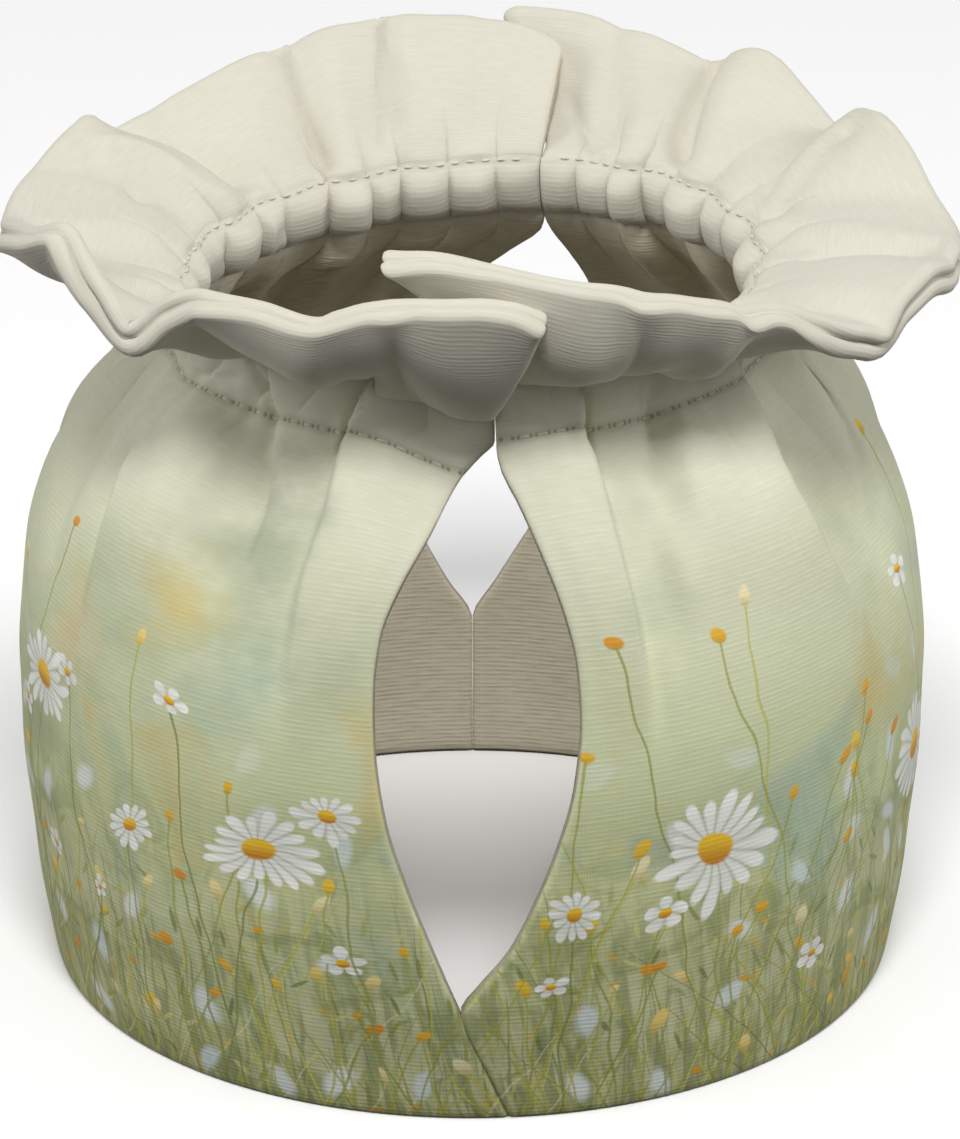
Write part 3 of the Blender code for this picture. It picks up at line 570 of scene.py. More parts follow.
def ripple(angle, length, seed, count, shortest, longest):
    """Uneven cloth: a sum of waves in seeded directions, about -1 to 1."""
    dice = np.random.RandomState(seed)
    total = np.zeros(np.broadcast(angle, length).shape)
    x = np.radians(angle) * PRINT_RADIUS
    for _ in range(count):
        wave = dice.uniform(shortest, longest)
        turn = dice.uniform(0, np.pi)
        phase = dice.uniform(0, 2 * np.pi)
        total = total + np.sin(2 * np.pi * (x * np.cos(turn) + length * np.sin(turn)) / wave + phase)
    return total / math.sqrt(count)


def line_places(line, angle, length, radius):
    """Distance to a line of (angle, length) spots, and the share of the way along it.

    The distance is positive on the side that faces away from the front.
    """
    spots = np.array(line, float)
    scale = np.radians(1.0) * radius
    best = np.full(angle.shape, 1e9)
    signed = np.zeros(angle.shape)
    travel = np.zeros(angle.shape)
    done = 0.0
    for (a0, v0), (a1, v1) in zip(spots, spots[1:]):
        across, up = (a1 - a0) * scale, v1 - v0
        px, py = (angle - a0) * scale, length - v0
        size = np.hypot(across, up)
        t = np.clip((px * across + py * up) / size**2, 0, 1)
        off = np.hypot(px - t * across, py - t * up)
        side = np.sign(py * across - px * up)
        closer = off < best
        best = np.where(closer, off, best)
        signed = np.where(closer, side * off, signed)
        travel = np.where(closer, done + t * size, travel)
        done = done + size
    return signed, travel / done


def panel_fold(x, fold):
    """A panel that swells up to its edge, slopes away there, and rises again beyond."""
    swell = 0.45 * np.exp(-((np.minimum(x, 0) / fold["swell"]) ** 2))
    away = np.maximum(x, 0)
    fall = 1 - np.exp(-1.4 * (away / fold["drop"]) ** 1.12)
    beyond = (0.45 - fall) * np.exp(-((away / fold["hollow"]) ** 2))
    return np.where(x < 0, swell, beyond)


def soft_crease(x, crease):
    """A trough, or a ridge where the depth is negative, of its own width on each side."""
    width = np.where(x < 0, crease["near"], crease["far"])
    return -np.exp(-(np.abs(x / width) ** CREASE_POWER))


def relief(half, angle, length):
    """Outward offset of the body from its relief lines, smooth between them."""
    total = np.zeros(angle.shape)
    for j, v in enumerate(length[:, 0]):
        keys, values = [], []
        for line in half["relief"]:
            spots = np.array(line["line"], float)
            end = line["ends"]
            strength = ease(line["starts"], line["full"], v) * (1 - ease(end - RELIEF_FADE, end, v))
            keys.append(float(np.interp(v, spots[:, 0], spots[:, 1])))
            values.append(line["offset"] * float(strength))
        total[j] = curve(keys, values, angle[j])
    return total


def hand_folds(half, angle, length, radius):
    """Outward offset from the listed folds and creases."""
    total = np.zeros(angle.shape)
    for kind, profile in (("folds", panel_fold), ("creases", soft_crease)):
        for line in half[kind]:
            x, share = line_places(line["line"], angle, length, radius)
            x = x * line.get("turn", 1)
            start, end = line["fade"]
            taper = ease(0.0, start, share) * (1 - ease(1 - end, 1.0, share))
            total += line["depth"] * taper * profile(x, line)
    return total


def rounded(x, share):
    """A quarter circle from share at 0 to 1 at 1."""
    return share + (1 - share) * np.sqrt(1 - (1 - np.clip(x, 0, 1)) ** 2)


def fine_half(half):
    """Points, UVs and shape of one half as fine cloth."""
    shares = fine_shares(half)
    places, heights = wall_places()
    lengths = wall_lengths(places)
    ruffle_shares = np.concatenate([[0.008, 0.02, 0.04], np.linspace(0.07, 0.94, 24), [0.975, 1.0]])
    rows = half_grid(half, shares, places, ruffle_shares)
    lengths = np.concatenate([lengths, lengths[-1] + ruffle_shares * RUFFLE_LENGTH])
    points, normal = surface_points(half, rows)
    angle, radius, cloth, outward, inward = (
        np.array([row[name] for row in rows]) for name in ("angle", "radius", "cloth", "outward", "inward")
    )
    v = np.broadcast_to(lengths[:, None], angle.shape)

    # Ends and hem are rounded
    first = np.radians(angle - angle[:, :1]) * radius
    last = np.radians(angle[:, -1:] - angle) * radius
    from_end = np.minimum(first, last)
    cloth = cloth * rounded(from_end / END_ROUNDING, END_SHARE) * rounded(v / HEM_ROUNDING, 0.5)

    # Stitching pulls the cloth together, and small puckers run out from it
    lower, upper = (
        float(wall_lengths(np.interp([height], heights, places))[0])
        for height in (LOWER_STITCHING, UPPER_STITCHING)
    )
    pull = STITCH_PULL * (bell(v - lower, STITCH_WIDTH) + bell(v - upper, STITCH_WIDTH))
    pucker = ripple(angle, v * 0.12, 11 + int(half["side"]), 7, 3.2, 6.5)
    reach = np.exp(-np.abs(v - lower) / 5.0) * (v < lower + 3) + 0.6 * np.exp(-np.abs(v - upper) / 3.0)
    small = SMALL_PUCKER * pucker * reach

    # The cloth is never quite even
    uneven = UNEVEN * ripple(angle, v, 5, 7, 16.0, 42.0)
    waves = ripple(angle, v * 0.6, 8 + int(half["side"]), 6, 18.0, 40.0)
    uneven = uneven + RUFFLE_UNEVEN * ease(upper + 4, upper + 16, v) * waves
    move = small + uneven * ease(0, 10, v) + hand_folds(half, angle, v, radius) + relief(half, angle, v)
    move = move * (0.25 + 0.75 * ease(0, 5, from_end))

    points = points + normal * move[..., None]
    outside = points + normal * (cloth / 2 + outward - pull)[..., None]
    inside = points - normal * (cloth / 2 + inward - pull)[..., None]

    # Rim: a thick outer roll, a groove and a thin inner lip
    onward = points[-1] - points[-2]
    onward /= np.linalg.norm(onward, axis=-1, keepdims=True)
    half_cloth = cloth[-1] / 2
    roll = [(0.46, 0.54, 0.50, math.radians(turn)) for turn in (14, 34, 56, 78, 100, 122, 146)]
    lip = [(-0.52, 0.44, 0.48, math.radians(turn)) for turn in (36, 62, 90, 118, 146)]
    arcs = [[(n + wide * math.cos(a), tall * math.sin(a)) for n, wide, tall, a in arc] for arc in (roll, lip)]
    section = arcs[0] + [(-0.06, 0.06)] + arcs[1]
    rim = []
    for n, m in section:
        rim.append(points[-1] + normal[-1] * (n * half_cloth)[:, None] + onward * (m * half_cloth)[:, None])
    return {
        "outside": outside,
        "inside": inside,
        "rim": np.array(rim),
        "angle": angle,
        "length": lengths,
        "lower": lower,
        "upper": upper,
    }


def srgb(red, green, blue):
    """A colour written as on a screen, 0 to 255, as linear light."""
    parts = []
    for part in (red, green, blue):
        x = part / 255.0
        parts.append(x / 12.92 if x <= 0.04045 else ((x + 0.055) / 1.055) ** 2.4)
    return (parts[0], parts[1], parts[2], 1.0)


class Graph:
    """Short names for the shader nodes of one material."""

    def __init__(self, name):
        self.material = bpy.data.materials.new(name)
        self.material.use_nodes = True
        self.tree = self.material.node_tree
        self.tree.nodes.clear()

    def put(self, socket, value):
        if isinstance(value, bpy.types.NodeSocket):
            self.tree.links.new(value, socket)
        else:
            socket.default_value = value

    def new(self, kind):
        return self.tree.nodes.new(kind)

    def math(self, operation, a, b=0.0, c=0.0):
        node = self.new("ShaderNodeMath")
        node.operation = operation
        for socket, value in zip(node.inputs, (a, b, c)):
            self.put(socket, value)
        return node.outputs[0]

    def add(self, a, b):
        return self.math("ADD", a, b)

    def sub(self, a, b):
        return self.math("SUBTRACT", a, b)

    def mul(self, a, b):
        return self.math("MULTIPLY", a, b)

    def mad(self, a, b, c):
        return self.math("MULTIPLY_ADD", a, b, c)

    def less(self, a, b):
        return self.math("LESS_THAN", a, b)

    def grade(self, x, low, high, to_low=0.0, to_high=1.0, kind="SMOOTHSTEP"):
        node = self.new("ShaderNodeMapRange")
        node.interpolation_type = kind
        for socket, value in zip(node.inputs, (x, low, high, to_low, to_high)):
            self.put(socket, value)
        return node.outputs[0]

    def mix(self, factor, a, b, kind="MIX"):
        node = self.new("ShaderNodeMix")
        node.data_type = "RGBA"
        node.blend_type = kind
        for place, value in ((0, factor), (6, a), (7, b)):
            self.put(node.inputs[place], value)
        return node.outputs[2]

    def ramp(self, x, stops):
        node = self.new("ShaderNodeValToRGB")
        ramp = node.color_ramp
        while len(ramp.elements) < len(stops):
            ramp.elements.new(0.5)
        for element, (place, colour) in zip(ramp.elements, stops):
            element.position = place
            element.color = colour
        self.put(node.inputs[0], x)
        return node.outputs[0]

    def vector(self, x, y, z=0.0):
        node = self.new("ShaderNodeCombineXYZ")
        for socket, value in zip(node.inputs, (x, y, z)):
            self.put(socket, value)
        return node.outputs[0]

    def noise(self, place, scale=1.0, detail=2.0, rough=0.5, twist=0.0, flat=True):
        node = self.new("ShaderNodeTexNoise")
        node.noise_dimensions = "2D" if flat else "3D"
        names = ("Vector", "Scale", "Detail", "Roughness", "Distortion")
        for name, value in zip(names, (place, scale, detail, rough, twist)):
            self.put(node.inputs[name], value)
        return node.outputs["Fac"]

    def split(self, kind, value):
        node = self.new(kind)
        self.put(node.inputs[0], value)
        return tuple(node.outputs)

    def noises(self, place, detail, rough, twist):
        """Three noises of one place, apart from each other."""
        colour = self.noise(place, 1.0, detail, rough, twist).node.outputs["Color"]
        return self.split("ShaderNodeSeparateColor", colour)

    def reach(self, x, y):
        return self.math("SQRT", self.mad(x, x, self.mul(y, y)))

    def dice(self, x, y=None):
        """Four even random values, 0 to 1, for a whole number or a pair of them."""
        node = self.new("ShaderNodeTexWhiteNoise")
        if y is None:
            node.noise_dimensions = "1D"
            self.put(node.inputs["W"], x)
        else:
            node.noise_dimensions = "2D"
            self.put(node.inputs["Vector"], self.vector(x, y))
        return self.split("ShaderNodeSeparateColor", node.outputs["Color"]) + (node.outputs["Value"],)

    def finish(self, colour, rough, height, depth, sheen):
        shader = self.new("ShaderNodeBsdfPrincipled")
        self.put(shader.inputs["Base Color"], colour)
        self.put(shader.inputs["Roughness"], rough)
        shader.inputs["Specular IOR Level"].default_value = 0.25
        shader.inputs["Sheen Weight"].default_value = sheen
        shader.inputs["Sheen Roughness"].default_value = 0.5
        bump = self.new("ShaderNodeBump")
        bump.inputs["Strength"].default_value = 1.0
        bump.inputs["Distance"].default_value = depth
        self.put(bump.inputs["Height"], height)
        self.tree.links.new(bump.outputs["Normal"], shader.inputs["Normal"])
        out = self.new("ShaderNodeOutputMaterial")
        self.tree.links.new(shader.outputs[0], out.inputs[0])
        return self.material


def cloth_places(g):
    """Print coordinates, across and along, in millimetres on the cloth."""
    uv = g.new("ShaderNodeUVMap")
    uv.uv_map = "cloth"
    x, y, _ = g.split("ShaderNodeSeparateXYZ", uv.outputs[0])
    return g.mul(x, UV_SCALE), g.mul(y, UV_SCALE)


def weave(g, u, v, soft):
    """Height of the crosswise ribs and the threads over them."""
    drift = g.noise(g.vector(g.mul(u, 0.05), g.mul(v, 0.25)), 1.0, 0.0)
    rib = g.math("SINE", g.mad(drift, 2.4, g.mul(v, 2 * math.pi / 0.85)))
    warp = g.math("SINE", g.mad(rib, 0.5, g.mul(u, 2 * math.pi / 0.52)))
    slub = g.noise(g.vector(g.mul(u, 0.22), g.mul(v, 1.25)), 1.0, 1.0)
    worn = g.grade(slub, 0.3, 0.7, 0.25, 0.6)
    total = g.mad(rib, worn, g.mul(warp, 0.12))
    total = g.mad(slub, 1.5, total)
    dents = g.noise(g.vector(g.mul(u, soft), g.mul(v, soft)), 1.0, 1.0)
    return g.mad(dents, 3.0, total), rib, slub


def seam_painted_shade(g, u, v):
    """Painted shade along both rows of stitching: a dark spot where the thread dips into the cloth at each
    stitch end, and a faint darker line.
    """
    place = g.sub(g.math("PINGPONG", u, PITCH / 2), STITCH / 2)
    lower = g.math("ABSOLUTE", g.sub(v, SEAMS[0]))
    upper = g.math("ABSOLUTE", g.sub(v, SEAMS[1]))
    off = g.math("MINIMUM", lower, upper)
    reach = g.reach(g.mul(place, 0.8), off)
    return g.grade(reach, 0.15, 0.6, 1.0, 0.0), g.grade(off, 0.2, 1.6, 1.0, 0.0)


def stroke_layer(g, u, v, width, seed, slant, thick, low, high, share):
    """Thin upright strokes, one in each column, that start at the hem and fade at the tip."""
    across = g.mad(v, slant, u)
    cell = g.math("FLOOR", g.math("DIVIDE", across, width))
    a, b, c, d = g.dice(g.add(cell, seed))
    tip = g.mad(g.mul(b, b), high - low, low)
    centre = g.mul(g.add(cell, g.mad(a, 0.5, 0.25)), width)
    climb = g.math("DIVIDE", v, tip)
    lean = g.mul(g.mul(g.sub(c, 0.5), width * 0.7), g.mul(climb, climb))
    off = g.math("ABSOLUTE", g.sub(g.sub(across, centre), lean))
    half_width = g.mul(g.grade(climb, 0.2, 1.0, 1.0, 0.25, "LINEAR"), thick)
    line = g.grade(g.math("DIVIDE", off, half_width), 0.6, 1.15, 1.0, 0.0)
    line = g.mul(line, g.grade(climb, 0.75, 1.0, 1.0, 0.0))
    return g.mul(line, g.less(d, share)), c


def dab_layer(g, u, v, across, up, seed, long, thin, share, edge):
    """Short brush dabs, turned at random, one in each cell."""
    i = g.math("FLOOR", g.mul(u, 1 / across))
    j = g.math("FLOOR", g.mul(v, 1 / up))
    a, b, c, d = g.dice(g.add(i, seed), j)
    x = g.sub(u, g.mul(g.add(i, g.mad(a, 0.4, 0.3)), across))
    y = g.sub(v, g.mul(g.add(j, g.mad(b, 0.4, 0.3)), up))
    turn = g.mad(c, 2.2, 0.45)
    cosine, sine = g.math("COSINE", turn), g.math("SINE", turn)
    along = g.mul(g.mad(x, cosine, g.mul(y, sine)), 1 / long)
    wide = g.mul(g.sub(g.mul(y, cosine), g.mul(x, sine)), 1 / thin)
    return g.mul(g.grade(g.reach(along, wide), edge, 1.05, 1.0, 0.0), g.less(d, share)), a


def sprig_layer(g, u, v, width, seed, slant, low, high, power, free, bend, share):
    """One stem in each column with a head on top: the stem's mask and the head's own places."""
    across = g.mad(v, slant, u)
    cell = g.math("FLOOR", g.math("DIVIDE", across, width))
    a, b, c, d = g.dice(g.add(cell, seed))
    centre = g.mul(g.add(cell, g.mad(a, free, 0.5 - free / 2)), width)
    top = g.mad(g.math("POWER", b, power), high - low, low)
    x = g.sub(across, centre)
    y = g.sub(v, top)
    drop = g.mul(y, 1 / 40.0)
    drop = g.mul(drop, drop)
    curve_off = g.mul(g.mul(g.sub(c, 0.5), bend * width), g.math("DIVIDE", drop, g.add(drop, 0.5)))
    off = g.math("ABSOLUTE", g.sub(x, curve_off))
    stem = g.mul(g.grade(off, 0.14, 0.34, 1.0, 0.0), g.less(y, 0.0))
    shown = g.less(d, share)
    return g.mul(stem, shown), x, y, a, c, shown


def blossom(g, x, y, shown, a, c, small, large, petals, spread, gap):
    """Masks of petals and centre, and how light the petals are."""
    size = g.mad(c, large - small, small)
    px = g.math("DIVIDE", x, size)
    py = g.math("DIVIDE", y, g.mul(size, g.mad(a, 0.3, 0.68)))
    reach = g.reach(px, py)
    turn = g.mad(g.math("ARCTAN2", py, px), petals / 2.0, g.mul(a, 6.283))
    lobe = g.math("ABSOLUTE", g.math("COSINE", turn))
    petal = g.math("FLOORED_MODULO", g.math("FLOOR", g.mad(turn, 1 / math.pi, 0.5)), petals)
    long, pale, _, _ = g.dice(g.mad(a, 53.0, petal))
    edge = g.mul(g.mad(g.math("POWER", lobe, spread), 1 - gap, gap), g.mad(long, 0.3, 0.76))
    mask = g.mul(g.grade(g.sub(reach, edge), -0.07, 0.03, 1.0, 0.0), shown)
    light = g.add(g.grade(lobe, 0.1, 0.8, 0.0, 0.65), g.grade(reach, 0.2, 0.9, 0.0, 0.35))
    light = g.mul(light, g.mad(pale, 0.4, 0.66))
    eye = g.math("SQRT", g.mad(px, px, g.mul(g.mul(py, py), 1.25)))
    eye = g.mul(g.grade(eye, 0.24, 0.31, 1.0, 0.0), shown)
    return mask, light, eye, g.grade(py, -0.22, 0.16)


def print_material(name, bottom, top):
    """The print between two lengths along the cloth, with the layers that reach there."""
    g = Graph(name)
    u, v = cloth_places(g)
    height, rib, slub = weave(g, u, v, 0.11)
    ground_with_painted_casing_light = [(place, srgb(*tone)) for place, tone in GROUND_WITH_PAINTED_CASING_LIGHT]
    base = g.ramp(g.grade(v, 0.0, GROUND_TOP, kind="LINEAR"), ground_with_painted_casing_light)

    # Washes: one soft noise gives the places of three tints
    colour = base
    if bottom < TINT_TOP:
        green, warm, cool = g.noises(g.vector(g.mul(u, 0.030), g.mul(v, 0.034)), 3.0, 0.6, 0.6)
        above = g.grade(v, 60.0, TINT_TOP, 0.55, 0.0)
        colour = g.mix(g.mul(g.grade(green, 0.44, 0.68), above), base, srgb(178, 192, 150))
        band = g.mul(g.grade(v, 18.0, 48.0), g.grade(v, 66.0, BAND_TOP, 1.0, 0.0))
        colour = g.mix(g.mul(g.grade(warm, 0.54, 0.72, 0.0, 0.55), band), colour, srgb(214, 190, 118))
        colour = g.mix(g.mul(g.grade(cool, 0.54, 0.74, 0.0, 0.6), band), colour, srgb(160, 184, 168))

    frayed = g.noise(g.vector(g.mul(u, 0.045), g.mul(v, 0.07)), 1.0, 3.0, 0.55, 0.0)
    # Listed tints: print tints, painted shade on the dark sides of folds, and painted light under the
    # ruffle's sides
    for spot in TINTS_WITH_PAINTED_SHADE_AND_LIGHT:
        far = TINT_SHADE_AND_LIGHT_REACH * spot["tall"]
        if spot["up"] + far < bottom or spot["up"] - far > top:
            continue
        aside = g.mul(g.sub(u, spot["across"]), 1 / spot["wide"])
        along = g.mul(g.sub(v, spot["up"]), 1 / spot["tall"])
        reach = g.add(g.reach(aside, along), g.mul(g.sub(frayed, 0.5), 2.0))
        colour = g.mix(g.grade(reach, -0.1, 1.2, spot["strength"], 0.0), colour, srgb(*spot["colour"]))

    # Light and dark patches low down, then blurred grass behind
    if bottom < PATCH_TOP:
        patch = g.noise(g.vector(g.mul(u, 0.055), g.mul(v, 0.075)), 1.0, 3.0, 0.6, 0.8)
        down = g.grade(v, 30.0, PATCH_TOP, 1.0, 0.0)
        colour = g.mix(g.mul(g.grade(patch, 0.50, 0.68, 0.0, 0.6), down), colour, srgb(206, 206, 166))
        colour = g.mix(g.mul(g.grade(patch, 0.47, 0.33, 0.0, 0.55), down), colour, srgb(136, 146, 92))
        low = g.grade(v, 8.0, 66.0, 1.0, 0.0)
        blur = g.noise(g.vector(g.mul(g.mad(v, 0.16, u), 0.34), g.mul(v, 0.045)), 1.0, 3.0, 0.6, 0.5)
        colour = g.mix(g.mul(g.grade(blur, 0.48, 0.66, 0.0, 0.75), low), colour, srgb(134, 142, 98))
        colour = g.mix(g.mul(g.grade(blur, 0.47, 0.33, 0.0, 0.6), low), colour, srgb(206, 208, 166))

    # Brush edges: the fine layers are drawn on places moved a little
    # (nodes that a part of the print doesn't use aren't computed)
    aside, along, _ = g.noises(g.vector(g.mul(u, 0.055), g.mul(v, 0.055)), 3.0, 0.33, 0.0)
    us = g.mad(g.sub(aside, 0.5), SHAKE, u)
    vs = g.mad(g.sub(along, 0.5), SHAKE, v)

    for spec in STROKES:
        if spec["shape"][5] + SHAKE < bottom:
            continue
        line, tone = stroke_layer(g, us, vs, *spec["shape"])
        tint = g.mix(tone, srgb(*spec["dark"]), srgb(*spec["light"]))
        colour = g.mix(g.mul(line, spec["strength"]), colour, tint)

    for spec in DABS:
        if spec["top"] < bottom:
            continue
        dab, tone = dab_layer(g, us, vs, *spec["shape"], spec["edge"])
        stops = [(k / 3.0, srgb(*c)) for k, c in enumerate(spec["colours"])]
        reach = g.grade(v, spec["top"] * 0.55, spec["top"], spec["strength"], 0.0)
        colour = g.mix(g.mul(dab, reach), colour, g.ramp(tone, stops))

    for spec in BUDS:
        if spec["shape"][4] + BUD_ROOM <= bottom:
            continue
        stem, x, y, a, c, shown = sprig_layer(g, us, vs, *spec["shape"])
        colour = g.mix(g.mul(stem, 0.75), colour, g.mix(c, srgb(136, 144, 66), srgb(190, 188, 84)))
        size = g.mad(a, spec["large"] - spec["small"], spec["small"])
        bx = g.math("DIVIDE", x, size)
        by = g.math("DIVIDE", y, g.mul(size, g.mad(c, 0.7, 0.75)))
        mask = g.mul(g.grade(g.reach(bx, by), 0.75, 1.1, 1.0, 0.0), shown)
        hue = g.ramp(c, [(place, srgb(*tone)) for place, tone in BUD_COLOURS])
        hue = g.mix(g.grade(by, -0.9, 0.4, 0.55, 0.0), hue, srgb(164, 140, 58))
        colour = g.mix(g.mul(mask, 0.95), colour, hue)

    for spec in BLOSSOMS:
        if spec["shape"][4] + 1.1 * spec["head"][1] + SHAKE / 2 < bottom:
            continue
        stem, x, y, a, c, shown = sprig_layer(g, us, vs, *spec["shape"])
        colour = g.mix(g.mul(stem, 0.8), colour, g.mix(c, srgb(122, 132, 74), srgb(160, 166, 92)))
        mask, light, eye, under = blossom(g, x, y, shown, a, c, *spec["head"])
        colour = g.mix(mask, colour, g.mix(light, srgb(196, 202, 184), srgb(250, 250, 244)))
        colour = g.mix(eye, colour, g.mix(under, srgb(196, 130, 34), srgb(240, 196, 48)))

    # Yarn tone from the slubs, with a slight painted shade in the valleys between the ribs
    yarn_tone_and_rib_shade = g.mad(rib, 0.008, g.mad(slub, 0.10, 0.945))
    shade = g.new("ShaderNodeCombineColor")
    for socket in shade.inputs[:3]:
        g.put(socket, yarn_tone_and_rib_shade)
    colour = g.mix(1.0, colour, shade.outputs[0], "MULTIPLY")
    if bottom < 0.9:
        colour = g.mix(g.grade(v, 0.2, 0.9, 0.55, 0.0), colour, srgb(226, 226, 204))
    # Painted shade at the stitching: dark spots where the thread dips in, and a faint darker line along it
    if bottom < SEAMS[0] < top:
        pit_shade, stitch_line_shade = seam_painted_shade(g, u, v)
        colour = g.mix(g.mul(stitch_line_shade, 0.18), colour, srgb(120, 118, 98), "MULTIPLY")
        colour = g.mix(g.mul(pit_shade, 0.55), colour, srgb(120, 112, 88), "MULTIPLY")
    rough = g.grade(slub, 0.3, 0.7, 0.80, 0.92)
    return g.finish(colour, rough, height, 0.000022, 0.12)


# Where the tints, their middle band and the low patches end, and room for the listed tints (print tints,
# painted shade and painted light) and buds
TINT_TOP = 119.0
BAND_TOP = 104.0
PATCH_TOP = 72.0
TINT_SHADE_AND_LIGHT_REACH = 1.9
BUD_ROOM = 7.0

# Parts of the print along the cloth, so that the plain upper part has few nodes
ZONES = [
    ("printed_cloth", 0.0, 72.0), ("printed_cloth_stems", 72.0, 84.0), ("printed_cloth_heads", 84.0, 99.0),
    ("printed_cloth_above", 99.0, TINT_TOP), ("printed_cloth_neck", TINT_TOP, 146.0),
    ("printed_cloth_ruffle", 146.0, 400.0),
]

# The print's base colours by their share of the way up a height of GROUND_TOP, with one stop of painted light
# over the casing, and the buds by chance
GROUND_TOP = 190.0
GROUND_WITH_PAINTED_CASING_LIGHT = [
    (0.00, (178, 180, 130)), (0.14, (193, 196, 145)), (0.28, (199, 205, 157)), (0.42, (208, 213, 178)),
    # The stop at 0.69 is painted light: lifted over the casing, which lies in the ruffle's shade
    (0.58, (214, 214, 191)), (0.69, (214, 212, 192)), (0.76, (206, 202, 186)), (1.00, (210, 206, 191)),
]
BUD_COLOURS = [(0.0, (226, 140, 34)), (0.3, (236, 176, 30)), (0.65, (240, 202, 60)), (1.0, (240, 232, 190))]

# Broad tints of the upper cloth, in millimetres across and up the print: tints of the print, and among them
# painted shade on the dark sides of the body's folds and painted light under the ruffle's sides
TINTS_WITH_PAINTED_SHADE_AND_LIGHT = table("across up wide tall colour strength", [
    # (-48, 104): painted shade on the dark side of a fold of the left half; (-66, 86) is a tint of the print
    (-48, 104, 19, 22, (150, 160, 134), 0.75), (-66, 86, 30, 15, (176, 186, 150), 0.55),
    (-58, 92, 13, 11, (216, 192, 110), 0.6), (-88, 78, 12, 11, (218, 182, 126), 0.6),
    # (36, 108): painted shade on the dark side of a fold of the right half; (-44, 78) is a tint of the print
    (-44, 78, 11, 12, (158, 186, 170), 0.55), (36, 108, 9, 16, (182, 188, 164), 0.5),
    # (88, 96): painted shade on the dark side of a fold of the right half; (84, 66) is a tint of the print
    (88, 96, 15, 22, (176, 180, 150), 0.6), (84, 66, 16, 12, (206, 186, 110), 0.4),
    (48, 62, 14, 10, (174, 186, 150), 0.5), (-100, 56, 20, 18, (140, 152, 114), 0.6),
    # Both pale tints on this line are painted light on the sides of the body just under the ruffle, where its
    # shade falls
    (-92, 116, 20, 13, (228, 230, 208), 0.6), (66, 116, 18, 13, (228, 228, 206), 0.6),
])

# shape: width, seed, slant, thick, low, high, share
STROKES = table("shape strength dark light", [
    ((3.1, 11, 0.12, 0.42, 12, 62, 0.8), 0.6, (104, 116, 66), (150, 158, 96)),
    ((4.3, 37, -0.3, 0.32, 10, 60, 0.75), 0.7, (146, 154, 72), (206, 204, 118)),
    ((5.7, 53, 0.52, 0.28, 12, 72, 0.7), 0.75, (136, 144, 60), (212, 206, 84)),
    ((7.9, 71, -0.66, 0.3, 12, 58, 0.7), 0.65, (206, 206, 140), (228, 224, 180)),
    ((9.7, 89, 0.95, 0.26, 10, 44, 0.7), 0.65, (112, 108, 62), (186, 178, 96)),
])

# shape: across, up, seed, long, thin, share; then top of the layer, edge, colours
DABS = table("shape top edge strength colours", [
    ((5.3, 7.1, 401, 2.6, 0.55, 0.75), 58, 0.55, 0.75,
     [(98, 112, 62), (150, 158, 78), (206, 204, 130), (232, 226, 190)]),
    ((7.3, 5.9, 431, 2.9, 0.75, 0.65), 50, 0.3, 0.6,
     [(126, 136, 82), (196, 190, 84), (224, 168, 60), (240, 236, 214)]),
    ((14.3, 12.1, 467, 4.4, 2.5, 0.5), 82, 0.4, 0.85,
     [(236, 240, 236), (214, 226, 226), (248, 248, 240), (206, 214, 176)]),
])

# shape: width, seed, slant, low, high, power, free, bend, share
BUDS = table("shape small large", [
    ((8.3, 101, 0.2, 5, 44, 1.1, 0.4, 0.6, 0.85), 0.9, 2),
    ((10.3, 131, -0.46, 7, 58, 1.3, 0.4, 0.6, 0.8), 0.9, 2.1),
    ((12.1, 149, 0.62, 8, 54, 1.2, 0.4, 0.6, 0.75), 0.8, 1.8),
    ((14.7, 163, 0.05, 24, 80, 1.5, 0.4, 0.6, 0.7), 1, 2.3),
    ((29, 197, -0.12, 46, 112, 1, 0.3, 0.7, 0.65), 1.1, 1.9),
    ((21, 229, 0.3, 44, 92, 1.2, 0.3, 0.7, 0.6), 1.1, 2.2),
    ((17, 257, -0.4, 26, 74, 1.2, 0.4, 0.6, 0.6), 1.2, 2.2),
])

# head: small, large, petals, spread, gap
BLOSSOMS = table("shape head", [
    ((18.3, 211, -0.2, 12, 60, 1, 0.4, 0.5, 0.55), (2.8, 4.2, 5, 0.55, 0.42)),
    ((26.9, 241, 0.22, 24, 88, 1, 0.4, 0.5, 0.6), (3.8, 5.4, 5, 0.6, 0.36)),
    ((38.7, 271, 0.08, 18, 60, 1, 0.4, 0.5, 0.75), (5.4, 7.8, 12, 0.4, 0.5)),
    ((66, 307, -0.1, 46, 74, 1, 0.4, 0.4, 0.8), (10, 13.2, 17, 0.4, 0.48)),
])


def lining_material():
    g = Graph("lining_cloth")
    u, v = cloth_places(g)
    height, _, slub = weave(g, u, v, 0.13)
    colour = g.mix(g.grade(slub, 0.3, 0.75, 0.0, 0.5), srgb(217, 209, 186), srgb(200, 191, 168))
    rough = g.grade(slub, 0.3, 0.7, 0.82, 0.94)
    return g.finish(colour, rough, height, 0.00004, 0.1)


def thread_material():
    g = Graph("stitch_thread")
    place = g.new("ShaderNodeTexCoord").outputs["Object"]
    x, _, z = g.split("ShaderNodeSeparateXYZ", place)
    twist = g.math("SINE", g.add(g.mul(x, 5200.0), g.mul(z, 9000.0)))
    fuzz = g.noise(place, 900.0, 2.0, 0.5, 0.0, False)
    colour = g.mix(g.grade(fuzz, 0.3, 0.7), srgb(216, 213, 195), srgb(200, 197, 178))
    rough = g.grade(fuzz, 0.3, 0.7, 0.6, 0.8)
    return g.finish(colour, rough, g.mad(twist, 0.4, fuzz), 0.00003, 0.2)


def add_object(name, data):
    thing = bpy.data.objects.new(name, data)
    bpy.context.scene.collection.objects.link(thing)
    return thing


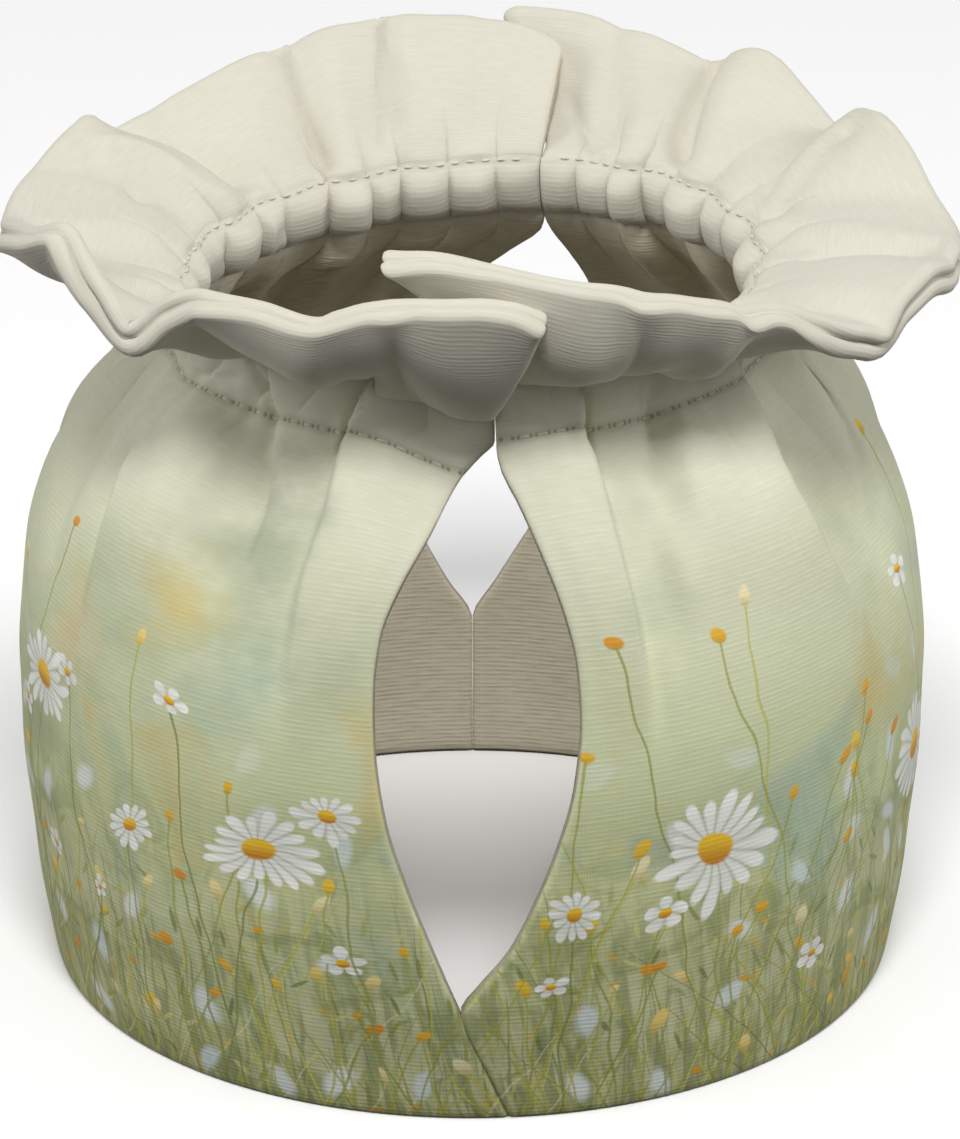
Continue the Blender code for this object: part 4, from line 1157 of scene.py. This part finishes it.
def add_mesh(name, points, faces, materials):
    """A smooth mesh from points in millimetres about the hem's centre."""
    mesh = bpy.data.meshes.new(name)
    mesh.from_pydata([tuple((p + AXIS) * MM) for p in points], [], faces)
    mesh.update()
    for material in materials:
        mesh.materials.append(material)
    mesh.polygons.foreach_set("use_smooth", [True] * len(faces))
    return add_object(name, mesh)


def make_half(half, shape, materials):
    """One closed loop of cloth: up the outside, over the rim and down the inside."""
    outside, inside, rim = shape["outside"], shape["inside"], shape["rim"]
    loop = np.concatenate([outside, rim, inside[::-1]])
    rows, columns = loop.shape[:2]
    lengths = shape["length"]
    turned = np.concatenate([outside[-1:], rim, inside[-1:]])
    over = np.cumsum(np.linalg.norm(np.diff(turned, axis=0), axis=-1).mean(axis=1))
    onward = lengths[-1] + over
    v = np.concatenate([lengths, onward[:-1], onward[-1] + (lengths[-1] - lengths[::-1])])
    lining_from = int(np.argmin(np.abs(lengths - (shape["lower"] - LINING_BELOW_SEAM))))
    lining = len(ZONES)
    zones = np.searchsorted([low for _, low, _ in ZONES], v, side="right") - 1
    zones[rows - 1 - lining_from:] = lining
    faces, slots = [], []

    def add(face, slot):
        faces.append(tuple(reversed(face)) if half["side"] < 0 else tuple(face))
        slots.append(slot)

    for j in range(rows - 1):
        for i in range(columns - 1):
            a = j * columns + i
            add((a, a + 1, a + 1 + columns, a + columns), int(zones[j]))
    hem = (rows - 1) * columns
    for i in range(columns - 1):
        add((i, hem + i, hem + i + 1, i + 1), 0)
    for i in (0, columns - 1):
        turn = 1 if i == 0 else -1
        for j in range((rows - len(rim)) // 2 - 1):
            a, b, c, d = (k * columns + i for k in (j, j + 1, rows - 2 - j, rows - 1 - j))
            add((a, b, c, d)[::turn], lining)
        ring = range(len(outside) - 1, len(outside) + len(rim) + 1)
        add([k * columns + i for k in ring][::turn], lining - 1)
    piece = add_mesh(half["name"] + "_cloth", loop.reshape(-1, 3), faces, materials)
    mesh = piece.data
    mesh.polygons.foreach_set("material_index", slots)
    across = half["side"] * np.radians(shape["angle"]) * PRINT_RADIUS
    across = np.concatenate([across, np.repeat(across[-1:], len(rim), axis=0), across[::-1]])
    along = np.repeat(v[:, None], columns, axis=1)
    flat = np.stack([across, along], axis=-1).reshape(-1, 2) / UV_SCALE
    layer = mesh.uv_layers.new(name="cloth")
    corners = np.zeros(len(mesh.loops), int)
    mesh.loops.foreach_get("vertex_index", corners)
    layer.data.foreach_set("uv", flat[corners].ravel())
    mesh.update()
    return piece


def make_stitches(half, shape, material):
    """Short threads along both rows of stitching, on both faces of the cloth."""
    sides = THREAD_SIDES
    points, faces = [], []
    for face in ("outside", "inside"):
        grid = shape[face]
        for row_length in (shape["lower"], shape["upper"]):
            j = int(np.argmin(np.abs(shape["length"] - row_length)))
            line = grid[j]
            travel = np.radians(shape["angle"][j]) * PRINT_RADIUS
            out = line - (shape["inside"][j] if face == "outside" else shape["outside"][j])
            out /= np.linalg.norm(out, axis=-1, keepdims=True)
            first_stitch, last_stitch = math.ceil(travel[0] / PITCH) + 1, math.floor(travel[-1] / PITCH)
            for place in np.arange(first_stitch, last_stitch) * PITCH:
                ends = []
                for step in np.linspace(-0.5, 0.5, THREAD_RINGS):
                    s = place + step * STITCH
                    centre = np.array([np.interp(s, travel, line[:, k]) for k in range(3)])
                    lift = np.array([np.interp(s, travel, out[:, k]) for k in range(3)])
                    bow = 0.14 - 0.22 * (2 * step) ** 2
                    ends.append((centre + lift * bow, lift, 1 - 0.75 * abs(2 * step) ** 3))
                path = ends[-1][0] - ends[0][0]
                path /= np.linalg.norm(path)
                first = len(points)
                for centre, lift, size in ends:
                    side = np.cross(path, lift)
                    side /= np.linalg.norm(side)
                    for turn in 2 * math.pi * np.arange(sides) / sides:
                        across = lift * math.cos(turn) + side * math.sin(turn)
                        points.append(centre + THREAD_RADIUS * size * across)
                for a in range(first, first + (THREAD_RINGS - 1) * sides, sides):
                    for k in range(sides):
                        b = (k + 1) % sides
                        faces.append((a + k, a + b, a + sides + b, a + sides + k))
                faces.append(tuple(first + k for k in reversed(range(sides))))
                faces.append(tuple(first + (THREAD_RINGS - 1) * sides + k for k in range(sides)))
    return add_mesh(half["name"] + "_stitches", points, faces, [material])


FLOOR_REACH = 4.0
FLOOR_GLOW = 0.08
WORLD_STRENGTH = 0.46

# Camera, with its focal length as pixels of the photograph
SENSOR = 36.0
FOCAL_PIXELS = 7560.0
PHOTO_HEIGHT = 1139.0
CAMERA_PLACE = (-0.000022, -1.251733, 0.630)
CAMERA_DOWN = 24.07


def make_floor():
    mesh = bpy.data.meshes.new("floor")
    r = FLOOR_REACH
    mesh.from_pydata([(-r, -r, 0), (r, -r, 0), (r, r, 0), (-r, r, 0)], [], [(0, 1, 2, 3)])
    floor = add_object("floor", mesh)
    material = bpy.data.materials.new("floor_white")
    material.use_nodes = True
    shader = material.node_tree.nodes["Principled BSDF"]
    shader.inputs["Base Color"].default_value = (0.93, 0.93, 0.93, 1.0)
    shader.inputs["Roughness"].default_value = 0.9
    shader.inputs["Specular IOR Level"].default_value = 0.0
    shader.inputs["Emission Color"].default_value = (1.0, 1.0, 1.0, 1.0)
    shader.inputs["Emission Strength"].default_value = FLOOR_GLOW
    mesh.materials.append(material)
    floor.visible_diffuse = False


def make_light(name, place, size, power):
    data = bpy.data.lights.new(name, "AREA")
    data.size = size
    data.energy = power
    light = add_object(name, data)
    light.location = place
    aim = Vector((0.0, 0.0, 0.08)) - Vector(place)
    light.rotation_euler = aim.to_track_quat("-Z", "Y").to_euler()


def make_camera():
    data = bpy.data.cameras.new("camera")
    data.sensor_width = SENSOR
    data.lens = FOCAL_PIXELS / PHOTO_HEIGHT * SENSOR
    data.dof.use_dof = False
    data.clip_end = 20.0
    camera = add_object("camera", data)
    camera.location = CAMERA_PLACE
    camera.rotation_euler = (math.radians(90 - CAMERA_DOWN), 0.0, 0.0)
    bpy.context.scene.camera = camera


def make_world():
    world = bpy.data.worlds.new("studio")
    world.use_nodes = True
    tree = world.node_tree
    back = tree.nodes["Background"]
    place = tree.nodes.new("ShaderNodeTexCoord")
    split = tree.nodes.new("ShaderNodeSeparateXYZ")
    ramp = tree.nodes.new("ShaderNodeValToRGB")
    half = tree.nodes.new("ShaderNodeMath")
    half.operation = "MULTIPLY_ADD"
    half.inputs[1].default_value = 0.5
    half.inputs[2].default_value = 0.5
    tree.links.new(place.outputs["Generated"], split.inputs[0])
    tree.links.new(split.outputs[2], half.inputs[0])
    tree.links.new(half.outputs[0], ramp.inputs[0])
    stops = [(0.0, 0.02), (0.44, 0.03), (0.55, 0.75), (0.75, 0.9), (1.0, 0.6)]
    while len(ramp.color_ramp.elements) < len(stops):
        ramp.color_ramp.elements.new(0.5)
    for element, (spot, value) in zip(ramp.color_ramp.elements, stops):
        element.position = spot
        element.color = (value, value, value, 1.0)
    tree.links.new(ramp.outputs[0], back.inputs["Color"])
    back.inputs["Strength"].default_value = WORLD_STRENGTH
    bpy.context.scene.world = world
    bpy.context.scene.view_settings.view_transform = "Standard"


shapes = [fine_half(half) for half in (LEFT, RIGHT)]
SEAMS = (shapes[0]["lower"], shapes[0]["upper"])
cloths = [print_material(*zone) for zone in ZONES] + [lining_material()]
thread = thread_material()
for half, shape in zip((LEFT, RIGHT), shapes):
    piece = make_half(half, shape, cloths)
    stitches = make_stitches(half, shape, thread)
    for thing in (piece, stitches):
        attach(thing, "root")
    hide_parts(half["name"])

make_floor()
make_light("key", (0.05, -1.12, 1.78), 0.55, 27.0)
make_light("left", (-1.6, -0.2, 0.75), 0.8, 10.0)
make_light("right", (1.6, -0.2, 0.75), 0.8, 10.0)
make_camera()
make_world()
